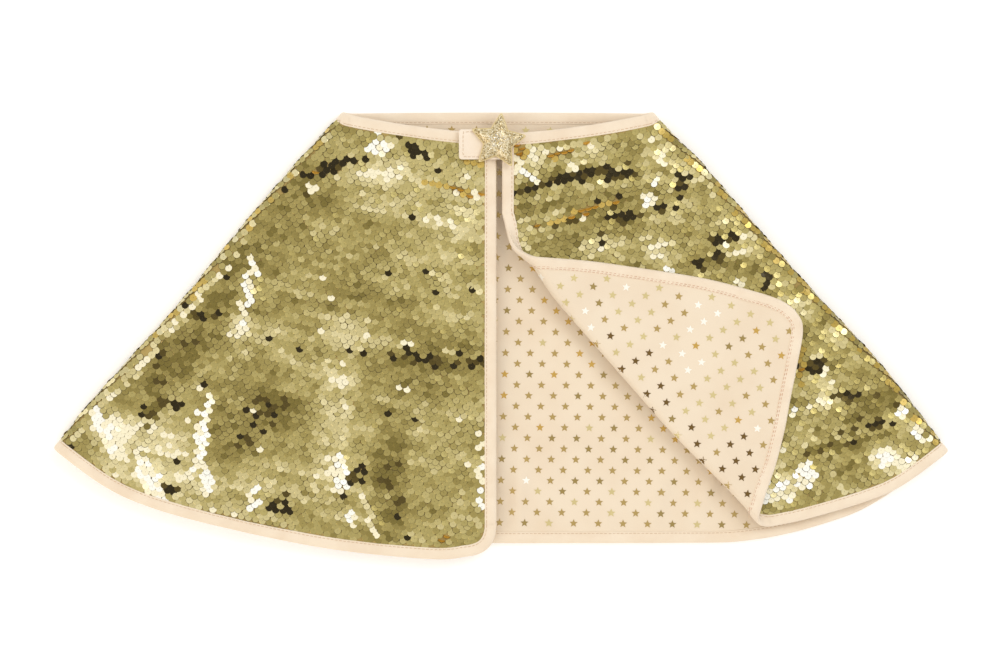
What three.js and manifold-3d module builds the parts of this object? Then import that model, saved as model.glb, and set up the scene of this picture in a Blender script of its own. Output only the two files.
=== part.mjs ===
// A child's sequinned dress-up cape, laid flat with its opening up and one front corner folded back.
// Right and left are the wearer's, so the right front lies on the -X side.
// Millimetres. +X runs across the cape, +Y runs from the hem to the neck and +Z is up.

import * as THREE from 'three';
import { mergeVertices } from 'three/addons/utils/BufferGeometryUtils.js';
import Module from 'manifold-3d';

const wasm = await Module();
wasm.setup();

// Thicknesses of the cloth and of the tape that binds its edges
const CLEARANCE = 0.3;
const SHELL = 1.4;
const LINING = 0.8;
const TAPE = 0.7;
const TAPE_WIDTH = 9;
const TAPE_EDGE = 1;
const CLOTH_HALF = (SHELL + CLEARANCE + LINING) / 2;
const SLOT_HALF = CLOTH_HALF + CLEARANCE;
const TAPE_HALF = SLOT_HALF + TAPE;
const CLOTH_INSET = TAPE_EDGE + CLEARANCE;

// Heights of the layers: the back on the table, the fronts over it, the folded corner over its front
const SIDE_FOLD_RADIUS = 5;
const CREASE_RADIUS = 4;
const BACK_LEVEL = TAPE_HALF;
const SIDE_FOLD_LEVEL = BACK_LEVEL + SIDE_FOLD_RADIUS;
const FRONT_LEVEL = SIDE_FOLD_LEVEL + SIDE_FOLD_RADIUS;
const CREASE_LEVEL = FRONT_LEVEL + CREASE_RADIUS;
const FLAP_LEVEL = CREASE_LEVEL + CREASE_RADIUS;

// Corners of the flat garment
const RIGHT_NECK_CORNER = [-127.6, 176.8];
const RIGHT_HEM_CORNER = [-358, -91];
const LEFT_NECK_CORNER = [124.4, 176.8];
const LEFT_HEM_CORNER = [358, -95];
const RIGHT_FRONT_EDGE_X = -2.4;
const LEFT_FRONT_EDGE_X = 2;
const FRONT_NECK_Y = 160;
const CORNER_TOP_Y = -152;
const HEM_TAPE_END_Y = -149;
const CREASE_TOP = [22, 57];
const CREASE_BOTTOM = [201, -154];

// The closure tab with its hook-and-loop tapes and star
const TAB_X = [-32.4, 8];
const TAB_Y = [139.2, 163.2];
const TAB_CORNER = 2;
const TAPE_PATCH_X = [-30, -8];
const TAPE_PATCH_Y = [142, 160.5];
const TAB_CLOTH = 0.8;
const STAR_CENTRE = [-1.2, 153.6];
const STAR_RADIUS = 24;
const STAR_WAIST = 0.5;
const STAR_TURN = THREE.MathUtils.degToRad(-7);
const STAR_RIM = 3;
const STAR_RIM_THICKNESS = 1;
const STAR_PUFF = 4.2;
const STAR_SKIN = 0.7;
const STAR_SLOPE = 3.4;
const STAR_CROWN = 0.4;
const TIP_ROUNDING = 0.22;
const TIP_SHRINK = 1.6;

// How finely curves are drawn, and how far cutting shapes run past what they cut
const SPLINE_STEPS = 14;
const BEND_STEPS = 6;
const FOLD_STEPS = 5;
const OVERRUN = 40;
const OVERLAP = 1;
const REGION_HEIGHT = 60;

const vector = ([x, y]) => new THREE.Vector2(x, y);

// ---- Solids ----

function solid(geometry) {
  geometry.deleteAttribute('normal');
  geometry.deleteAttribute('uv');
  const merged = mergeVertices(geometry, 1e-4);
  return new wasm.Manifold(new wasm.Mesh({
    numProp: 3,
    vertProperties: new Float32Array(merged.attributes.position.array),
    triVerts: new Uint32Array(merged.index.array),
  }));
}

function geometryOf(manifold) {
  const mesh = manifold.getMesh();
  const geometry = new THREE.BufferGeometry();
  geometry.setAttribute('position', new THREE.BufferAttribute(mesh.vertProperties, 3));
  geometry.setIndex(new THREE.BufferAttribute(mesh.triVerts, 1));
  geometry.computeVertexNormals();
  return geometry;
}

function prism(points, low, high) {
  const geometry = new THREE.ExtrudeGeometry(new THREE.Shape(points), {
    depth: high - low,
    bevelEnabled: false,
  });
  geometry.translate(0, 0, low);
  return solid(geometry);
}

// ---- Outlines, all counterclockwise, so that inwards is to the left ----

function spline(points, steps = SPLINE_STEPS) {
  return new THREE.SplineCurve(points.map(vector)).getPoints(steps);
}

function bend(from, corner, to) {
  return new THREE.QuadraticBezierCurve(vector(from), vector(corner), vector(to)).getPoints(BEND_STEPS);
}

function join(...runs) {
  const points = runs.flat();
  return points.filter((point, i) => i === 0 || point.distanceTo(points[i - 1]) > 0.01);
}

function extended(points) {
  const [first, second] = points;
  const [last, before] = [points.at(-1), points.at(-2)];
  const head = first.clone().sub(second).setLength(TAPE_WIDTH * 2).add(first);
  const tail = last.clone().sub(before).setLength(TAPE_WIDTH * 2).add(last);
  return [head, ...points, tail];
}

function leftNormal(from, to) {
  const along = to.clone().sub(from).normalize();
  return new THREE.Vector2(-along.y, along.x);
}

function inset(points, distance) {
  return points.map((point, i) => {
    const before = points[Math.max(i - 1, 0)];
    const after = points[Math.min(i + 1, points.length - 1)];
    const first = leftNormal(i > 0 ? before : point, i > 0 ? point : after);
    const second = leftNormal(i < points.length - 1 ? point : before, i < points.length - 1 ? after : point);
    const mitre = first.clone().add(second).divideScalar(1 + first.dot(second));
    return mitre.multiplyScalar(distance).add(point);
  });
}

function band(edge, near, far) {
  return [...inset(edge, near), ...inset(edge, far).reverse()];
}

// ---- Folds: the cloth turns a quarter circle up or down to the line of the fold ----

function makeFold(from, to, level, radius) {
  const along = vector(to).sub(vector(from));
  const outward = new THREE.Vector3(along.y, -along.x, 0).normalize();
  const centre = new THREE.Vector3(...to, level).addScaledVector(outward, -(radius + TAPE_HALF + CLEARANCE));
  const up = new THREE.Vector3(0, 0, 1);
  const placement = new THREE.Matrix4().makeBasis(outward, up, outward.clone().cross(up));
  placement.setPosition(centre);
  return { level, radius, length: along.length(), placement };
}

function alongFold(fold, section) {
  const geometry = new THREE.ExtrudeGeometry(section, {
    depth: fold.length + 2 * OVERRUN,
    bevelEnabled: false,
    curveSegments: FOLD_STEPS,
  });
  geometry.translate(0, 0, -OVERRUN);
  geometry.applyMatrix4(fold.placement);
  return solid(geometry);
}

function quarterRoll(fold, side, low, high, gap) {
  const radii = [low, high].map((height) => side * (height - fold.level));
  const inner = Math.min(...radii);
  const outer = Math.max(...radii);
  const flat = side * Math.PI / 2;
  const end = side * gap / fold.radius;
  const section = new THREE.Shape();
  section.moveTo(-OVERLAP, side * outer);
  section.lineTo(0, side * outer);
  section.absarc(0, 0, outer, flat, end, side > 0);
  section.absarc(0, 0, inner, end, flat, side < 0);
  section.lineTo(-OVERLAP, side * inner);
  return alongFold(fold, section);
}

function beyondFold(fold) {
  const section = new THREE.Shape();
  section.moveTo(0, -REGION_HEIGHT);
  section.lineTo(OVERRUN, -REGION_HEIGHT);
  section.lineTo(OVERRUN, REGION_HEIGHT);
  section.lineTo(0, REGION_HEIGHT);
  return alongFold(fold, section);
}

// ---- Panels ----

// One layer of a panel over a region of its plan, from one height above the panel's middle to another
function layer(panel, region, low, high, gap = CLEARANCE / 2) {
  const [bottom, top] = [panel.level + low, panel.level + high];
  const column = prism(region, -REGION_HEIGHT, REGION_HEIGHT);
  let flat = prism(region, bottom, top);
  for (const fold of panel.folds) flat = flat.subtract(beyondFold(fold));
  let cloth = flat;
  for (const fold of panel.folds) {
    const side = Math.sign(panel.level - fold.level);
    cloth = cloth.add(quarterRoll(fold, side, bottom, top, gap).intersect(column));
  }
  return cloth;
}

function shell(panel) {
  const reach = [CLOTH_HALF - SHELL, CLOTH_HALF].map((height) => height * panel.outside);
  return layer(panel, panel.plan(CLOTH_INSET), Math.min(...reach), Math.max(...reach));
}

function lining(panel) {
  const reach = [-CLOTH_HALF, LINING - CLOTH_HALF].map((height) => height * panel.outside);
  return layer(panel, panel.plan(CLOTH_INSET), Math.min(...reach), Math.max(...reach));
}

// A tape folded over the cloth's edge, so that its section is a U
function binding(panel, edge) {
  const tape = layer(panel, band(edge, 0, TAPE_WIDTH), -TAPE_HALF, TAPE_HALF);
  const slotRegion = band(edge, TAPE_EDGE, TAPE_WIDTH + OVERLAP);
  return tape.subtract(layer(panel, slotRegion, -SLOT_HALF, SLOT_HALF, -CLEARANCE));
}

const RIGHT_SIDE_FOLD = makeFold(RIGHT_NECK_CORNER, RIGHT_HEM_CORNER, SIDE_FOLD_LEVEL, SIDE_FOLD_RADIUS);
const LEFT_SIDE_FOLD = makeFold(LEFT_HEM_CORNER, LEFT_NECK_CORNER, SIDE_FOLD_LEVEL, SIDE_FOLD_RADIUS);
const CREASE = makeFold(CREASE_TOP, CREASE_BOTTOM, CREASE_LEVEL, CREASE_RADIUS);

const backHem = extended(spline([
  RIGHT_HEM_CORNER, [-304, -126], [-264, -141.5], [-204, -156.5], [-130, -166.5],
  [130, -167.6], [204, -165], [264, -151], [304, -133.5], LEFT_HEM_CORNER,
], 2 * SPLINE_STEPS));
const backNeck = extended(bend(LEFT_NECK_CORNER, [0, 178.5], RIGHT_NECK_CORNER));

const rightHem = join(
  spline([RIGHT_HEM_CORNER, [-315, -122.5], [-275, -140], [-215, -156], [-135, -172], [-55, -180], [-26, -178]]),
  bend([-26, -178], [RIGHT_FRONT_EDGE_X, -176], [RIGHT_FRONT_EDGE_X, CORNER_TOP_Y]),
  [vector([RIGHT_FRONT_EDGE_X, HEM_TAPE_END_Y])],
);
const rightEdge = [HEM_TAPE_END_Y + CLEARANCE, FRONT_NECK_Y].map((y) => vector([RIGHT_FRONT_EDGE_X, y]));
const rightNeck = bend([RIGHT_FRONT_EDGE_X, FRONT_NECK_Y], [-62, 163], RIGHT_NECK_CORNER);
const rightRun = extended(join(rightHem, rightEdge, rightNeck));

const leftHem = extended(spline([
  CREASE_BOTTOM, [222, -152.5], [249, -147], [294, -133.5], [323, -120.5], LEFT_HEM_CORNER,
]));
const leftNeck = bend(LEFT_NECK_CORNER, [62, 163], [LEFT_FRONT_EDGE_X, FRONT_NECK_Y]);
const leftEdge = join(
  [vector([LEFT_FRONT_EDGE_X, FRONT_NECK_Y])],
  bend([LEFT_FRONT_EDGE_X, 106], [LEFT_FRONT_EDGE_X, 80], CREASE_TOP),
);
const leftRun = extended(join(leftNeck, leftEdge));

const flapEdge = extended(spline([
  CREASE_BOTTOM, [212, -127], [226, -82], [237, -27], [242, 3], [237, 17], [224, 27], [200, 35], [160, 45],
  [96, 55], [56, 59.5], CREASE_TOP,
], 2 * SPLINE_STEPS));

const BACK = {
  level: BACK_LEVEL,
  outside: -1,
  folds: [RIGHT_SIDE_FOLD, LEFT_SIDE_FOLD],
  plan: (distance) => [...inset(backHem, distance), ...inset(backNeck, distance)],
};
const RIGHT_FRONT = {
  level: FRONT_LEVEL,
  outside: 1,
  folds: [RIGHT_SIDE_FOLD],
  plan: (distance) => inset(rightRun, distance),
};
const LEFT_FRONT = {
  level: FRONT_LEVEL,
  outside: 1,
  folds: [LEFT_SIDE_FOLD, CREASE],
  plan: (distance) => [...inset(leftHem, distance), ...inset(leftRun, distance)],
};
const FLAP = {
  level: FLAP_LEVEL,
  outside: -1,
  folds: [CREASE],
  plan: (distance) => inset(flapEdge, distance),
};

// The neck tape runs out to the front edge, and the front-edge tape stops below it
function belowNeck(tape, neck) {
  const besideNeck = band(extended(neck), -TAPE_WIDTH, TAPE_WIDTH + CLEARANCE);
  return tape.subtract(prism(besideNeck, -REGION_HEIGHT, REGION_HEIGHT));
}

// Tapes that run over a fold are extended past it; their other ends stop square
const rightHemRun = extended(rightHem).slice(0, -1);
const rightNeckRun = extended(rightNeck).slice(1);
const leftNeckRun = extended(leftNeck).slice(0, -1);

// ---- The closure tab ----

function roundedRectangle([left, right], [bottom, top], radius) {
  const shape = new THREE.Shape();
  shape.moveTo(left + radius, bottom);
  shape.lineTo(right - radius, bottom);
  shape.absarc(right - radius, bottom + radius, radius, -Math.PI / 2, 0);
  shape.absarc(right - radius, top - radius, radius, 0, Math.PI / 2);
  shape.absarc(left + radius, top - radius, radius, Math.PI / 2, Math.PI);
  shape.absarc(left + radius, bottom + radius, radius, Math.PI, 1.5 * Math.PI);
  return shape;
}

function patch(xs, ys, radius, low, thickness) {
  const geometry = new THREE.ExtrudeGeometry(roundedRectangle(xs, ys, radius), {
    depth: thickness,
    bevelEnabled: false,
    curveSegments: 2,
  });
  geometry.translate(0, 0, low);
  return solid(geometry);
}

function starShape(shrink) {
  const tips = 5;
  const corner = (i) => {
    const angle = Math.PI / 2 + STAR_TURN + i * Math.PI / tips;
    const radius = i % 2 === 0 ? STAR_RADIUS - TIP_SHRINK * shrink : STAR_RADIUS * STAR_WAIST - shrink;
    return new THREE.Vector2(Math.cos(angle), Math.sin(angle)).multiplyScalar(radius).add(vector(STAR_CENTRE));
  };
  const shape = new THREE.Shape();
  for (let tip = 0; tip < 2 * tips; tip += 2) {
    const [before, at, after] = [corner(tip - 1), corner(tip), corner(tip + 1)];
    const start = at.clone().lerp(before, TIP_ROUNDING);
    const end = at.clone().lerp(after, TIP_ROUNDING);
    if (tip === 0) shape.moveTo(start.x, start.y);
    else shape.lineTo(start.x, start.y);
    shape.quadraticCurveTo(at.x, at.y, end.x, end.y);
    shape.lineTo(after.x, after.y);
  }
  return shape;
}

function starPrism(shrink, low, thickness) {
  const geometry = new THREE.ExtrudeGeometry(starShape(shrink), {
    depth: thickness,
    bevelEnabled: false,
    curveSegments: 3,
  });
  geometry.translate(0, 0, low);
  return solid(geometry);
}

// A star that swells from its outline to a smaller, raised middle
function starPillow(shrink, low, puff) {
  const geometry = new THREE.ExtrudeGeometry(starShape(shrink + STAR_SLOPE), {
    depth: STAR_CROWN,
    bevelThickness: puff,
    bevelSize: STAR_SLOPE,
    bevelSegments: 3,
    curveSegments: 3,
  });
  geometry.translate(0, 0, low - STAR_CROWN);
  const below = prism([[-60, 100], [60, 100], [60, 220], [-60, 220]].map(vector), low - REGION_HEIGHT, low);
  return solid(geometry).subtract(below);
}

const LOOP_LOW = FRONT_LEVEL + TAPE_HALF + CLEARANCE;
const HOOK_LOW = LOOP_LOW + TAB_CLOTH + CLEARANCE;
const FACING_LOW = HOOK_LOW + TAB_CLOTH + CLEARANCE;
const TAB_LOW = FACING_LOW + TAB_CLOTH + CLEARANCE;
const STAR_LOW = TAB_LOW + TAB_CLOTH + CLEARANCE;
const PUFF_LOW = STAR_LOW + TAB_CLOTH + CLEARANCE;

function starCover() {
  const rim = starPrism(0, PUFF_LOW, STAR_RIM_THICKNESS);
  const outer = starPillow(STAR_RIM, PUFF_LOW, STAR_PUFF + STAR_SKIN + CLEARANCE);
  const hollow = starPillow(STAR_RIM + STAR_SKIN, PUFF_LOW, STAR_PUFF + CLEARANCE);
  return rim.add(outer).subtract(hollow);
}

function starPadding() {
  return starPillow(STAR_RIM + STAR_SKIN + CLEARANCE, PUFF_LOW, STAR_PUFF);
}

// ---- The scene ----

const cloth = (color) => new THREE.MeshStandardMaterial({ color, roughness: 0.85, metalness: 0 });
const foil = (color) => new THREE.MeshStandardMaterial({ color, roughness: 0.28, metalness: 0.8 });
const nylon = (color) => new THREE.MeshStandardMaterial({ color, roughness: 0.7, metalness: 0 });

function body(name, pieces) {
  const group = new THREE.Group();
  group.name = name;
  for (const [pieceName, shape, material] of pieces) {
    const mesh = new THREE.Mesh(geometryOf(shape), material);
    mesh.name = pieceName;
    group.add(mesh);
  }
  return group;
}

const SEQUINS = foil(0xab9e68);
const CREAM = cloth(0xebdabe);
const TAPE_CREAM = cloth(0xf7e6cb);

const back = body('back_body', [
  ['back_shell', shell(BACK), SEQUINS],
  ['back_lining', lining(BACK), CREAM],
  ['back_hem_binding', binding(BACK, backHem), TAPE_CREAM],
  ['back_neck_binding', binding(BACK, backNeck), TAPE_CREAM],
]);

const rightFront = body('right_front_body', [
  ['right_front_shell', shell(RIGHT_FRONT), SEQUINS],
  ['right_front_lining', lining(RIGHT_FRONT), CREAM],
  ['right_front_hem_binding', binding(RIGHT_FRONT, rightHemRun), TAPE_CREAM],
  ['right_front_edge_binding', belowNeck(binding(RIGHT_FRONT, rightEdge), rightNeck), TAPE_CREAM],
  ['right_front_neck_binding', binding(RIGHT_FRONT, rightNeckRun), TAPE_CREAM],
  ['loop_tape', patch(TAPE_PATCH_X, TAPE_PATCH_Y, 1, LOOP_LOW, TAB_CLOTH), nylon(0xefe2cc)],
]);

const leftFront = body('left_front_body', [
  ['left_front_shell', shell(LEFT_FRONT), SEQUINS],
  ['left_front_lining', lining(LEFT_FRONT), CREAM],
  ['left_front_hem_binding', binding(LEFT_FRONT, leftHem), TAPE_CREAM],
  ['left_front_edge_binding', belowNeck(binding(LEFT_FRONT, leftEdge), leftNeck), TAPE_CREAM],
  ['left_front_neck_binding', binding(LEFT_FRONT, leftNeckRun), TAPE_CREAM],
]);

const flap = body('flap_body', [
  ['flap_shell', shell(FLAP), SEQUINS],
  ['flap_lining', lining(FLAP), CREAM],
  ['flap_binding', binding(FLAP, flapEdge), TAPE_CREAM],
]);

const tab = body('tab_body', [
  ['hook_tape', patch(TAPE_PATCH_X, TAPE_PATCH_Y, 1, HOOK_LOW, TAB_CLOTH), nylon(0xf3e8d4)],
  ['tab_facing', patch(TAB_X, TAB_Y, TAB_CORNER, FACING_LOW, TAB_CLOTH), cloth(0xf3e2c6)],
  ['tab_cover', patch(TAB_X, TAB_Y, TAB_CORNER, TAB_LOW, TAB_CLOTH), cloth(0xf8e9d6)],
  ['star_backing', starPrism(0, STAR_LOW, TAB_CLOTH), cloth(0xe6d2a8)],
  ['star_padding', starPadding(), cloth(0xf5f0e4)],
  ['star_cover', starCover(), foil(0xdbcca8)],
]);

const cape = new THREE.Group();
cape.add(back, rightFront, leftFront, flap, tab);

// The origin is under the middle of the cape's bounding box
const box = new THREE.Box3().setFromObject(cape);
const middle = box.getCenter(new THREE.Vector3());
cape.position.set(-middle.x, -middle.y, -box.min.z);

export default cape;
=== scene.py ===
"""The looks of the sequinned cape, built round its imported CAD.

Lengths are millimetres and plan points are (x, y) in the drawing that the CAD was made from, until
add_piece() turns them into metres in the frame. Right and left are the wearer's. Every edge runs
counterclockwise round its panel, so that the cloth is on its left.
"""

import math

import bmesh
import bpy
import numpy as np
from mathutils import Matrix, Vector


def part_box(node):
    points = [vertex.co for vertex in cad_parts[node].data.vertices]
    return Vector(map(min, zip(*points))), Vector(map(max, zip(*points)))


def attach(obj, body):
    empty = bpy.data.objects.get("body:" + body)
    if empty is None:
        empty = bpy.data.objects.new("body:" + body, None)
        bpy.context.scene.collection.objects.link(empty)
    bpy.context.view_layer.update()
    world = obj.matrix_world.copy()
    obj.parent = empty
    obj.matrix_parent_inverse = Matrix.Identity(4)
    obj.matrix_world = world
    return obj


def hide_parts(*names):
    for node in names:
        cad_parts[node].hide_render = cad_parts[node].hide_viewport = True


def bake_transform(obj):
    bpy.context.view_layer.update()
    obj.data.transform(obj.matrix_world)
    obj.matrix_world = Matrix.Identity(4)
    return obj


MM = 0.001

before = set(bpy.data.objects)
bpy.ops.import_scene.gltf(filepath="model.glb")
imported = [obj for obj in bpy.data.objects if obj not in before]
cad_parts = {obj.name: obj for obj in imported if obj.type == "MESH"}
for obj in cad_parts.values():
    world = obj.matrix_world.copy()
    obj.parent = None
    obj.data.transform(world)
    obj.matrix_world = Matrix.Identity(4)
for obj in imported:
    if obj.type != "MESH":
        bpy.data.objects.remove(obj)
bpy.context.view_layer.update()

# ---- The drawing, as in the CAD ----

CLOTH_HALF = 1.25
NET_THICKNESS = 0.4
TAPE_HALF = 2.25
TAPE_WIDTH = 9
CLEARANCE = 0.3
CLOTH_INSET = 1.3

SIDE_RADIUS = 5
CREASE_RADIUS = 4.3
BACK_LEVEL = TAPE_HALF
FRONT_LEVEL = BACK_LEVEL + 2 * SIDE_RADIUS
FLAP_LEVEL = 18.2

RIGHT_NECK_CORNER = (-127.6, 176.8)
RIGHT_HEM_CORNER = (-358, -91)
LEFT_NECK_CORNER = (124.4, 176.8)
LEFT_HEM_CORNER = (358, -95)
RIGHT_FRONT_EDGE_X = -2.4
LEFT_FRONT_EDGE_X = 2
FRONT_NECK_Y = 160
CREASE_TOP = (22, 57)
CREASE_BOTTOM = (201, -154)

TAB_X = (-32.4, 8)
TAB_Y = (139.2, 163.2)
TAB_LEVELS = (17.0, 18.9)
TAB_COVER_LEVEL = 18.1
TAPE_PATCH_X = (-30, -8)
TAPE_PATCH_Y = (142, 160.5)
LOOP_LEVELS = (14.8, 15.6)
HOOK_LEVELS = (15.9, 16.7)
STAR_CENTRE = np.array((-1.2, 153.6))
STAR_RADIUS = 24
STAR_WAIST = 0.5
STAR_TURN = math.radians(-7)
BACKING_LEVELS = (19.2, 20.0)
STAR_LEVEL = 20.3
STAR_RIM = 1.0
STAR_PUFF = 5.4
TIP_ROUNDING = 0.22

# Where the drawing's origin is in the frame, found from the tab, which both have
SHIFT = np.array(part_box("tab_cover")[0]) / MM - (TAB_X[0], TAB_Y[0], TAB_COVER_LEVEL)


# ---- Small tools ----


def smoothstep(x):
    x = np.clip(x, 0, 1)
    return x * x * (3 - 2 * x)


def value_noise(x, y, seed):
    """Smooth noise from 0 to 1 with features about one unit across."""
    table = np.random.default_rng(seed).random((64, 64))
    column, row = np.floor(x).astype(int), np.floor(y).astype(int)
    across, up = smoothstep(x - column), smoothstep(y - row)
    low = table[column % 64, row % 64] * (1 - across) + table[(column + 1) % 64, row % 64] * across
    row = row + 1
    high = table[column % 64, row % 64] * (1 - across) + table[(column + 1) % 64, row % 64] * across
    return low * (1 - up) + high * up


def turned(points, degrees):
    """Coordinates of points along and across a direction."""
    angle = math.radians(degrees)
    return points @ (math.cos(angle), math.sin(angle)), points @ (-math.sin(angle), math.cos(angle))


def reach(plan, x, y, direction, length, width):
    """How far points are from the middle of an oval patch, as a share of the way to its outline."""
    along, across = turned(plan - (x, y), direction)
    return np.hypot(2 * along / length, 2 * across / width)


def spline(points, steps=14):
    p = np.array(points, float)
    s = (np.arange(steps) / steps)[:, None]
    runs = []
    for i in range(len(p) - 1):
        before, here, there, after = p[max(i - 1, 0)], p[i], p[i + 1], p[min(i + 2, len(p) - 1)]
        leave, arrive = (there - before) / 2, (after - here) / 2
        cubic = 2 * here - 2 * there + leave + arrive
        square = -3 * here + 3 * there - 2 * leave - arrive
        runs.append(cubic * s**3 + square * s**2 + leave * s + here)
    return np.vstack([*runs, p[-1:]])


def bend(start, corner, end, steps=10):
    start, corner, end = (np.array(p, float) for p in (start, corner, end))
    s = np.linspace(0, 1, steps + 1)[:, None]
    return (1 - s) ** 2 * start + 2 * s * (1 - s) * corner + s**2 * end


def join(*runs):
    points = np.vstack(runs)
    keep = np.linalg.norm(np.diff(points, axis=0, prepend=points[:1] - 1), axis=1) > 0.01
    return points[keep]


def unit(vectors):
    return vectors / np.linalg.norm(vectors, axis=-1, keepdims=True)


def distance_along(points):
    return np.concatenate([[0], np.cumsum(np.linalg.norm(np.diff(points, axis=0), axis=1))])


def resample(points, count):
    distance = distance_along(points)
    at = np.linspace(0, distance[-1], count)
    return np.column_stack([np.interp(at, distance, axis) for axis in points.T])


def inward(points):
    """Unit vectors to the left of a run of points, in the plan."""
    ahead = unit(np.gradient(points, axis=0))
    return np.column_stack([-ahead[:, 1], ahead[:, 0]])


def extended(points, by):
    head = points[0] + unit(points[0] - points[1]) * by
    tail = points[-1] + unit(points[-1] - points[-2]) * by
    return join([head], points, [tail])


def depth(points, edge):
    """Distance of each point from an edge, negative outside it."""
    signed = np.full(len(points), np.inf)
    for start, step in zip(edge, np.diff(edge, axis=0)):
        relative = points - start
        share = np.clip(relative @ step / (step @ step), 0, 1)
        gap = np.linalg.norm(relative - share[:, None] * step, axis=1)
        outside = step[0] * relative[:, 1] < step[1] * relative[:, 0]
        signed = np.where(gap < abs(signed), np.where(outside, -gap, gap), signed)
    return signed


def tube(points, rings):
    """Points in so many rings, and the faces between the rings."""
    index = np.arange(len(points)).reshape(rings, -1)
    after = np.roll(index, -1, axis=1)
    return points, np.stack([index[:-1], after[:-1], after[1:], index[1:]], -1).reshape(-1, 4)


def lathe(profile, sides):
    """A shape turned about its third axis, from rings of (radius, height)."""
    angles = np.arange(sides) * 2 * math.pi / sides
    points = [(r * math.cos(a), r * math.sin(a), z) for r, z in profile for a in angles]
    return tube(np.array(points), len(profile))


def axes_from(first, third):
    return np.stack([first, np.cross(third, first), third], axis=1)


# ---- Folds and panels: every piece is laid out on flat cloth and then put on these ----


class Fold:
    """A half-turn of cloth from a lower panel to an upper one.

    t runs along the fold line. The turn begins and ends on a centre line, inset from the fold line."""

    def __init__(self, start, end, lower_level, radius, radius_at, inset_at):
        self.start = np.array(start, float)
        self.along = unit(np.array(end, float) - self.start)
        self.outward = np.array([self.along[1], -self.along[0]])
        self.lower_level = lower_level
        self.radius = radius
        self.radius_at = radius_at
        self.inset_at = inset_at

    def half_turn(self, t):
        """The length of cloth that goes round the fold."""
        return math.pi * self.radius_at(t)

    def locate(self, plan):
        """Distance along the fold, and distance beyond the centre line, of points on flat cloth."""
        relative = plan - self.start
        t = relative @ self.along
        return t, relative @ self.outward + self.inset_at(t)

    def flat(self, t, beyond):
        """The point of the flat cloth that is so far along the fold and so far beyond its centre line."""
        t, beyond = np.broadcast_arrays(np.asarray(t, float), np.asarray(beyond, float))
        across = beyond - self.inset_at(t)
        return self.start + t[..., None] * self.along + across[..., None] * self.outward

    def turn(self, t, angle):
        radius = self.radius_at(t)
        height = self.lower_level + radius * (1 + np.sin(angle))
        return np.column_stack([self.flat(t, radius * np.cos(angle)), height])


class Panel:
    """A flat piece of cloth that rolls over the folds at its edges.

    outside is 1 where the sequins are on top. height gives the height of the cloth's middle. A fold's
    side is 1 where this is its upper panel, and -1 where it is the lower one."""

    def __init__(self, outside, height, folds):
        self.outside = outside
        self.height = height
        self.folds = folds

    def middle(self, plan):
        points = np.column_stack([plan, self.height(plan)])
        for fold, side in self.folds:
            t, beyond = fold.locate(plan)
            over = beyond > 0
            rolled = np.minimum(beyond[over], fold.half_turn(t[over]))
            points[over] = fold.turn(t[over], side * (math.pi / 2 - rolled / fold.radius_at(t[over])))
            points[over, :2] -= np.outer(beyond[over] - rolled, fold.outward)
        return points

    def at(self, plan, height):
        """Points at a height above the cloth's middle, on its sequinned side."""
        point, normal = self.middle(plan), self.frames(plan)[:, 2]
        return point + normal * np.broadcast_to(height, len(plan))[:, None]

    def frames(self, plan, direction=0):
        """For each point, unit vectors along a direction in the cloth, across it, and out of its outside."""
        angle = math.radians(direction)
        step = 0.05
        point = self.middle(plan)
        along = self.middle(plan + (step * math.cos(angle), step * math.sin(angle))) - point
        across = self.middle(plan + (-step * math.sin(angle), step * math.cos(angle))) - point
        normal = unit(np.cross(along, across) * self.outside)
        along = unit(along)
        return np.stack([along, np.cross(normal, along) * self.outside, normal], axis=1)


def bump(t, centre, spread):
    return np.exp(-(((t - centre) / spread) ** 2))


def side_fold(start, end, bow):
    """A side fold that bows out from the straight fold line by bow(t)."""
    inset = SIDE_RADIUS + TAPE_HALF + CLEARANCE
    return Fold(start, end, BACK_LEVEL, SIDE_RADIUS, lambda t: SIDE_RADIUS + 0 * t, lambda t: inset - bow(t))


def right_bow(t):
    return 1.6 * smoothstep(t / 60) * smoothstep((350 - t) / 40) - 2.4 * bump(t, 205, 60)


def left_bow(t):
    return 2.5 + 0.9 * smoothstep(t / 50) - 3.2 * smoothstep((t - 300) / 50) + 3.6 * bump(t, 90, 60)


def crease_radius(t):
    """The crease is rounder at its top, where nothing presses it."""
    return CREASE_RADIUS + 2.5 * bump(t, -5, 30)


def crease_inset(t):
    """The roll's outer side is near the fold line, and drawn in at its loose top and its bottom corner."""
    top = 4 * bump(t, 4, 20) + 8 * smoothstep((-10 - t) / 30)
    bottom = 4.8 * smoothstep((t - 165) / 100)
    return crease_radius(t) + CLOTH_HALF - (3 - 0.016 * t - top - bottom)


RIGHT_FOLD = side_fold(RIGHT_NECK_CORNER, RIGHT_HEM_CORNER, right_bow)
LEFT_FOLD = side_fold(LEFT_HEM_CORNER, LEFT_NECK_CORNER, left_bow)
CREASE = Fold(CREASE_TOP, CREASE_BOTTOM, FRONT_LEVEL, CREASE_RADIUS, crease_radius, crease_inset)

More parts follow.
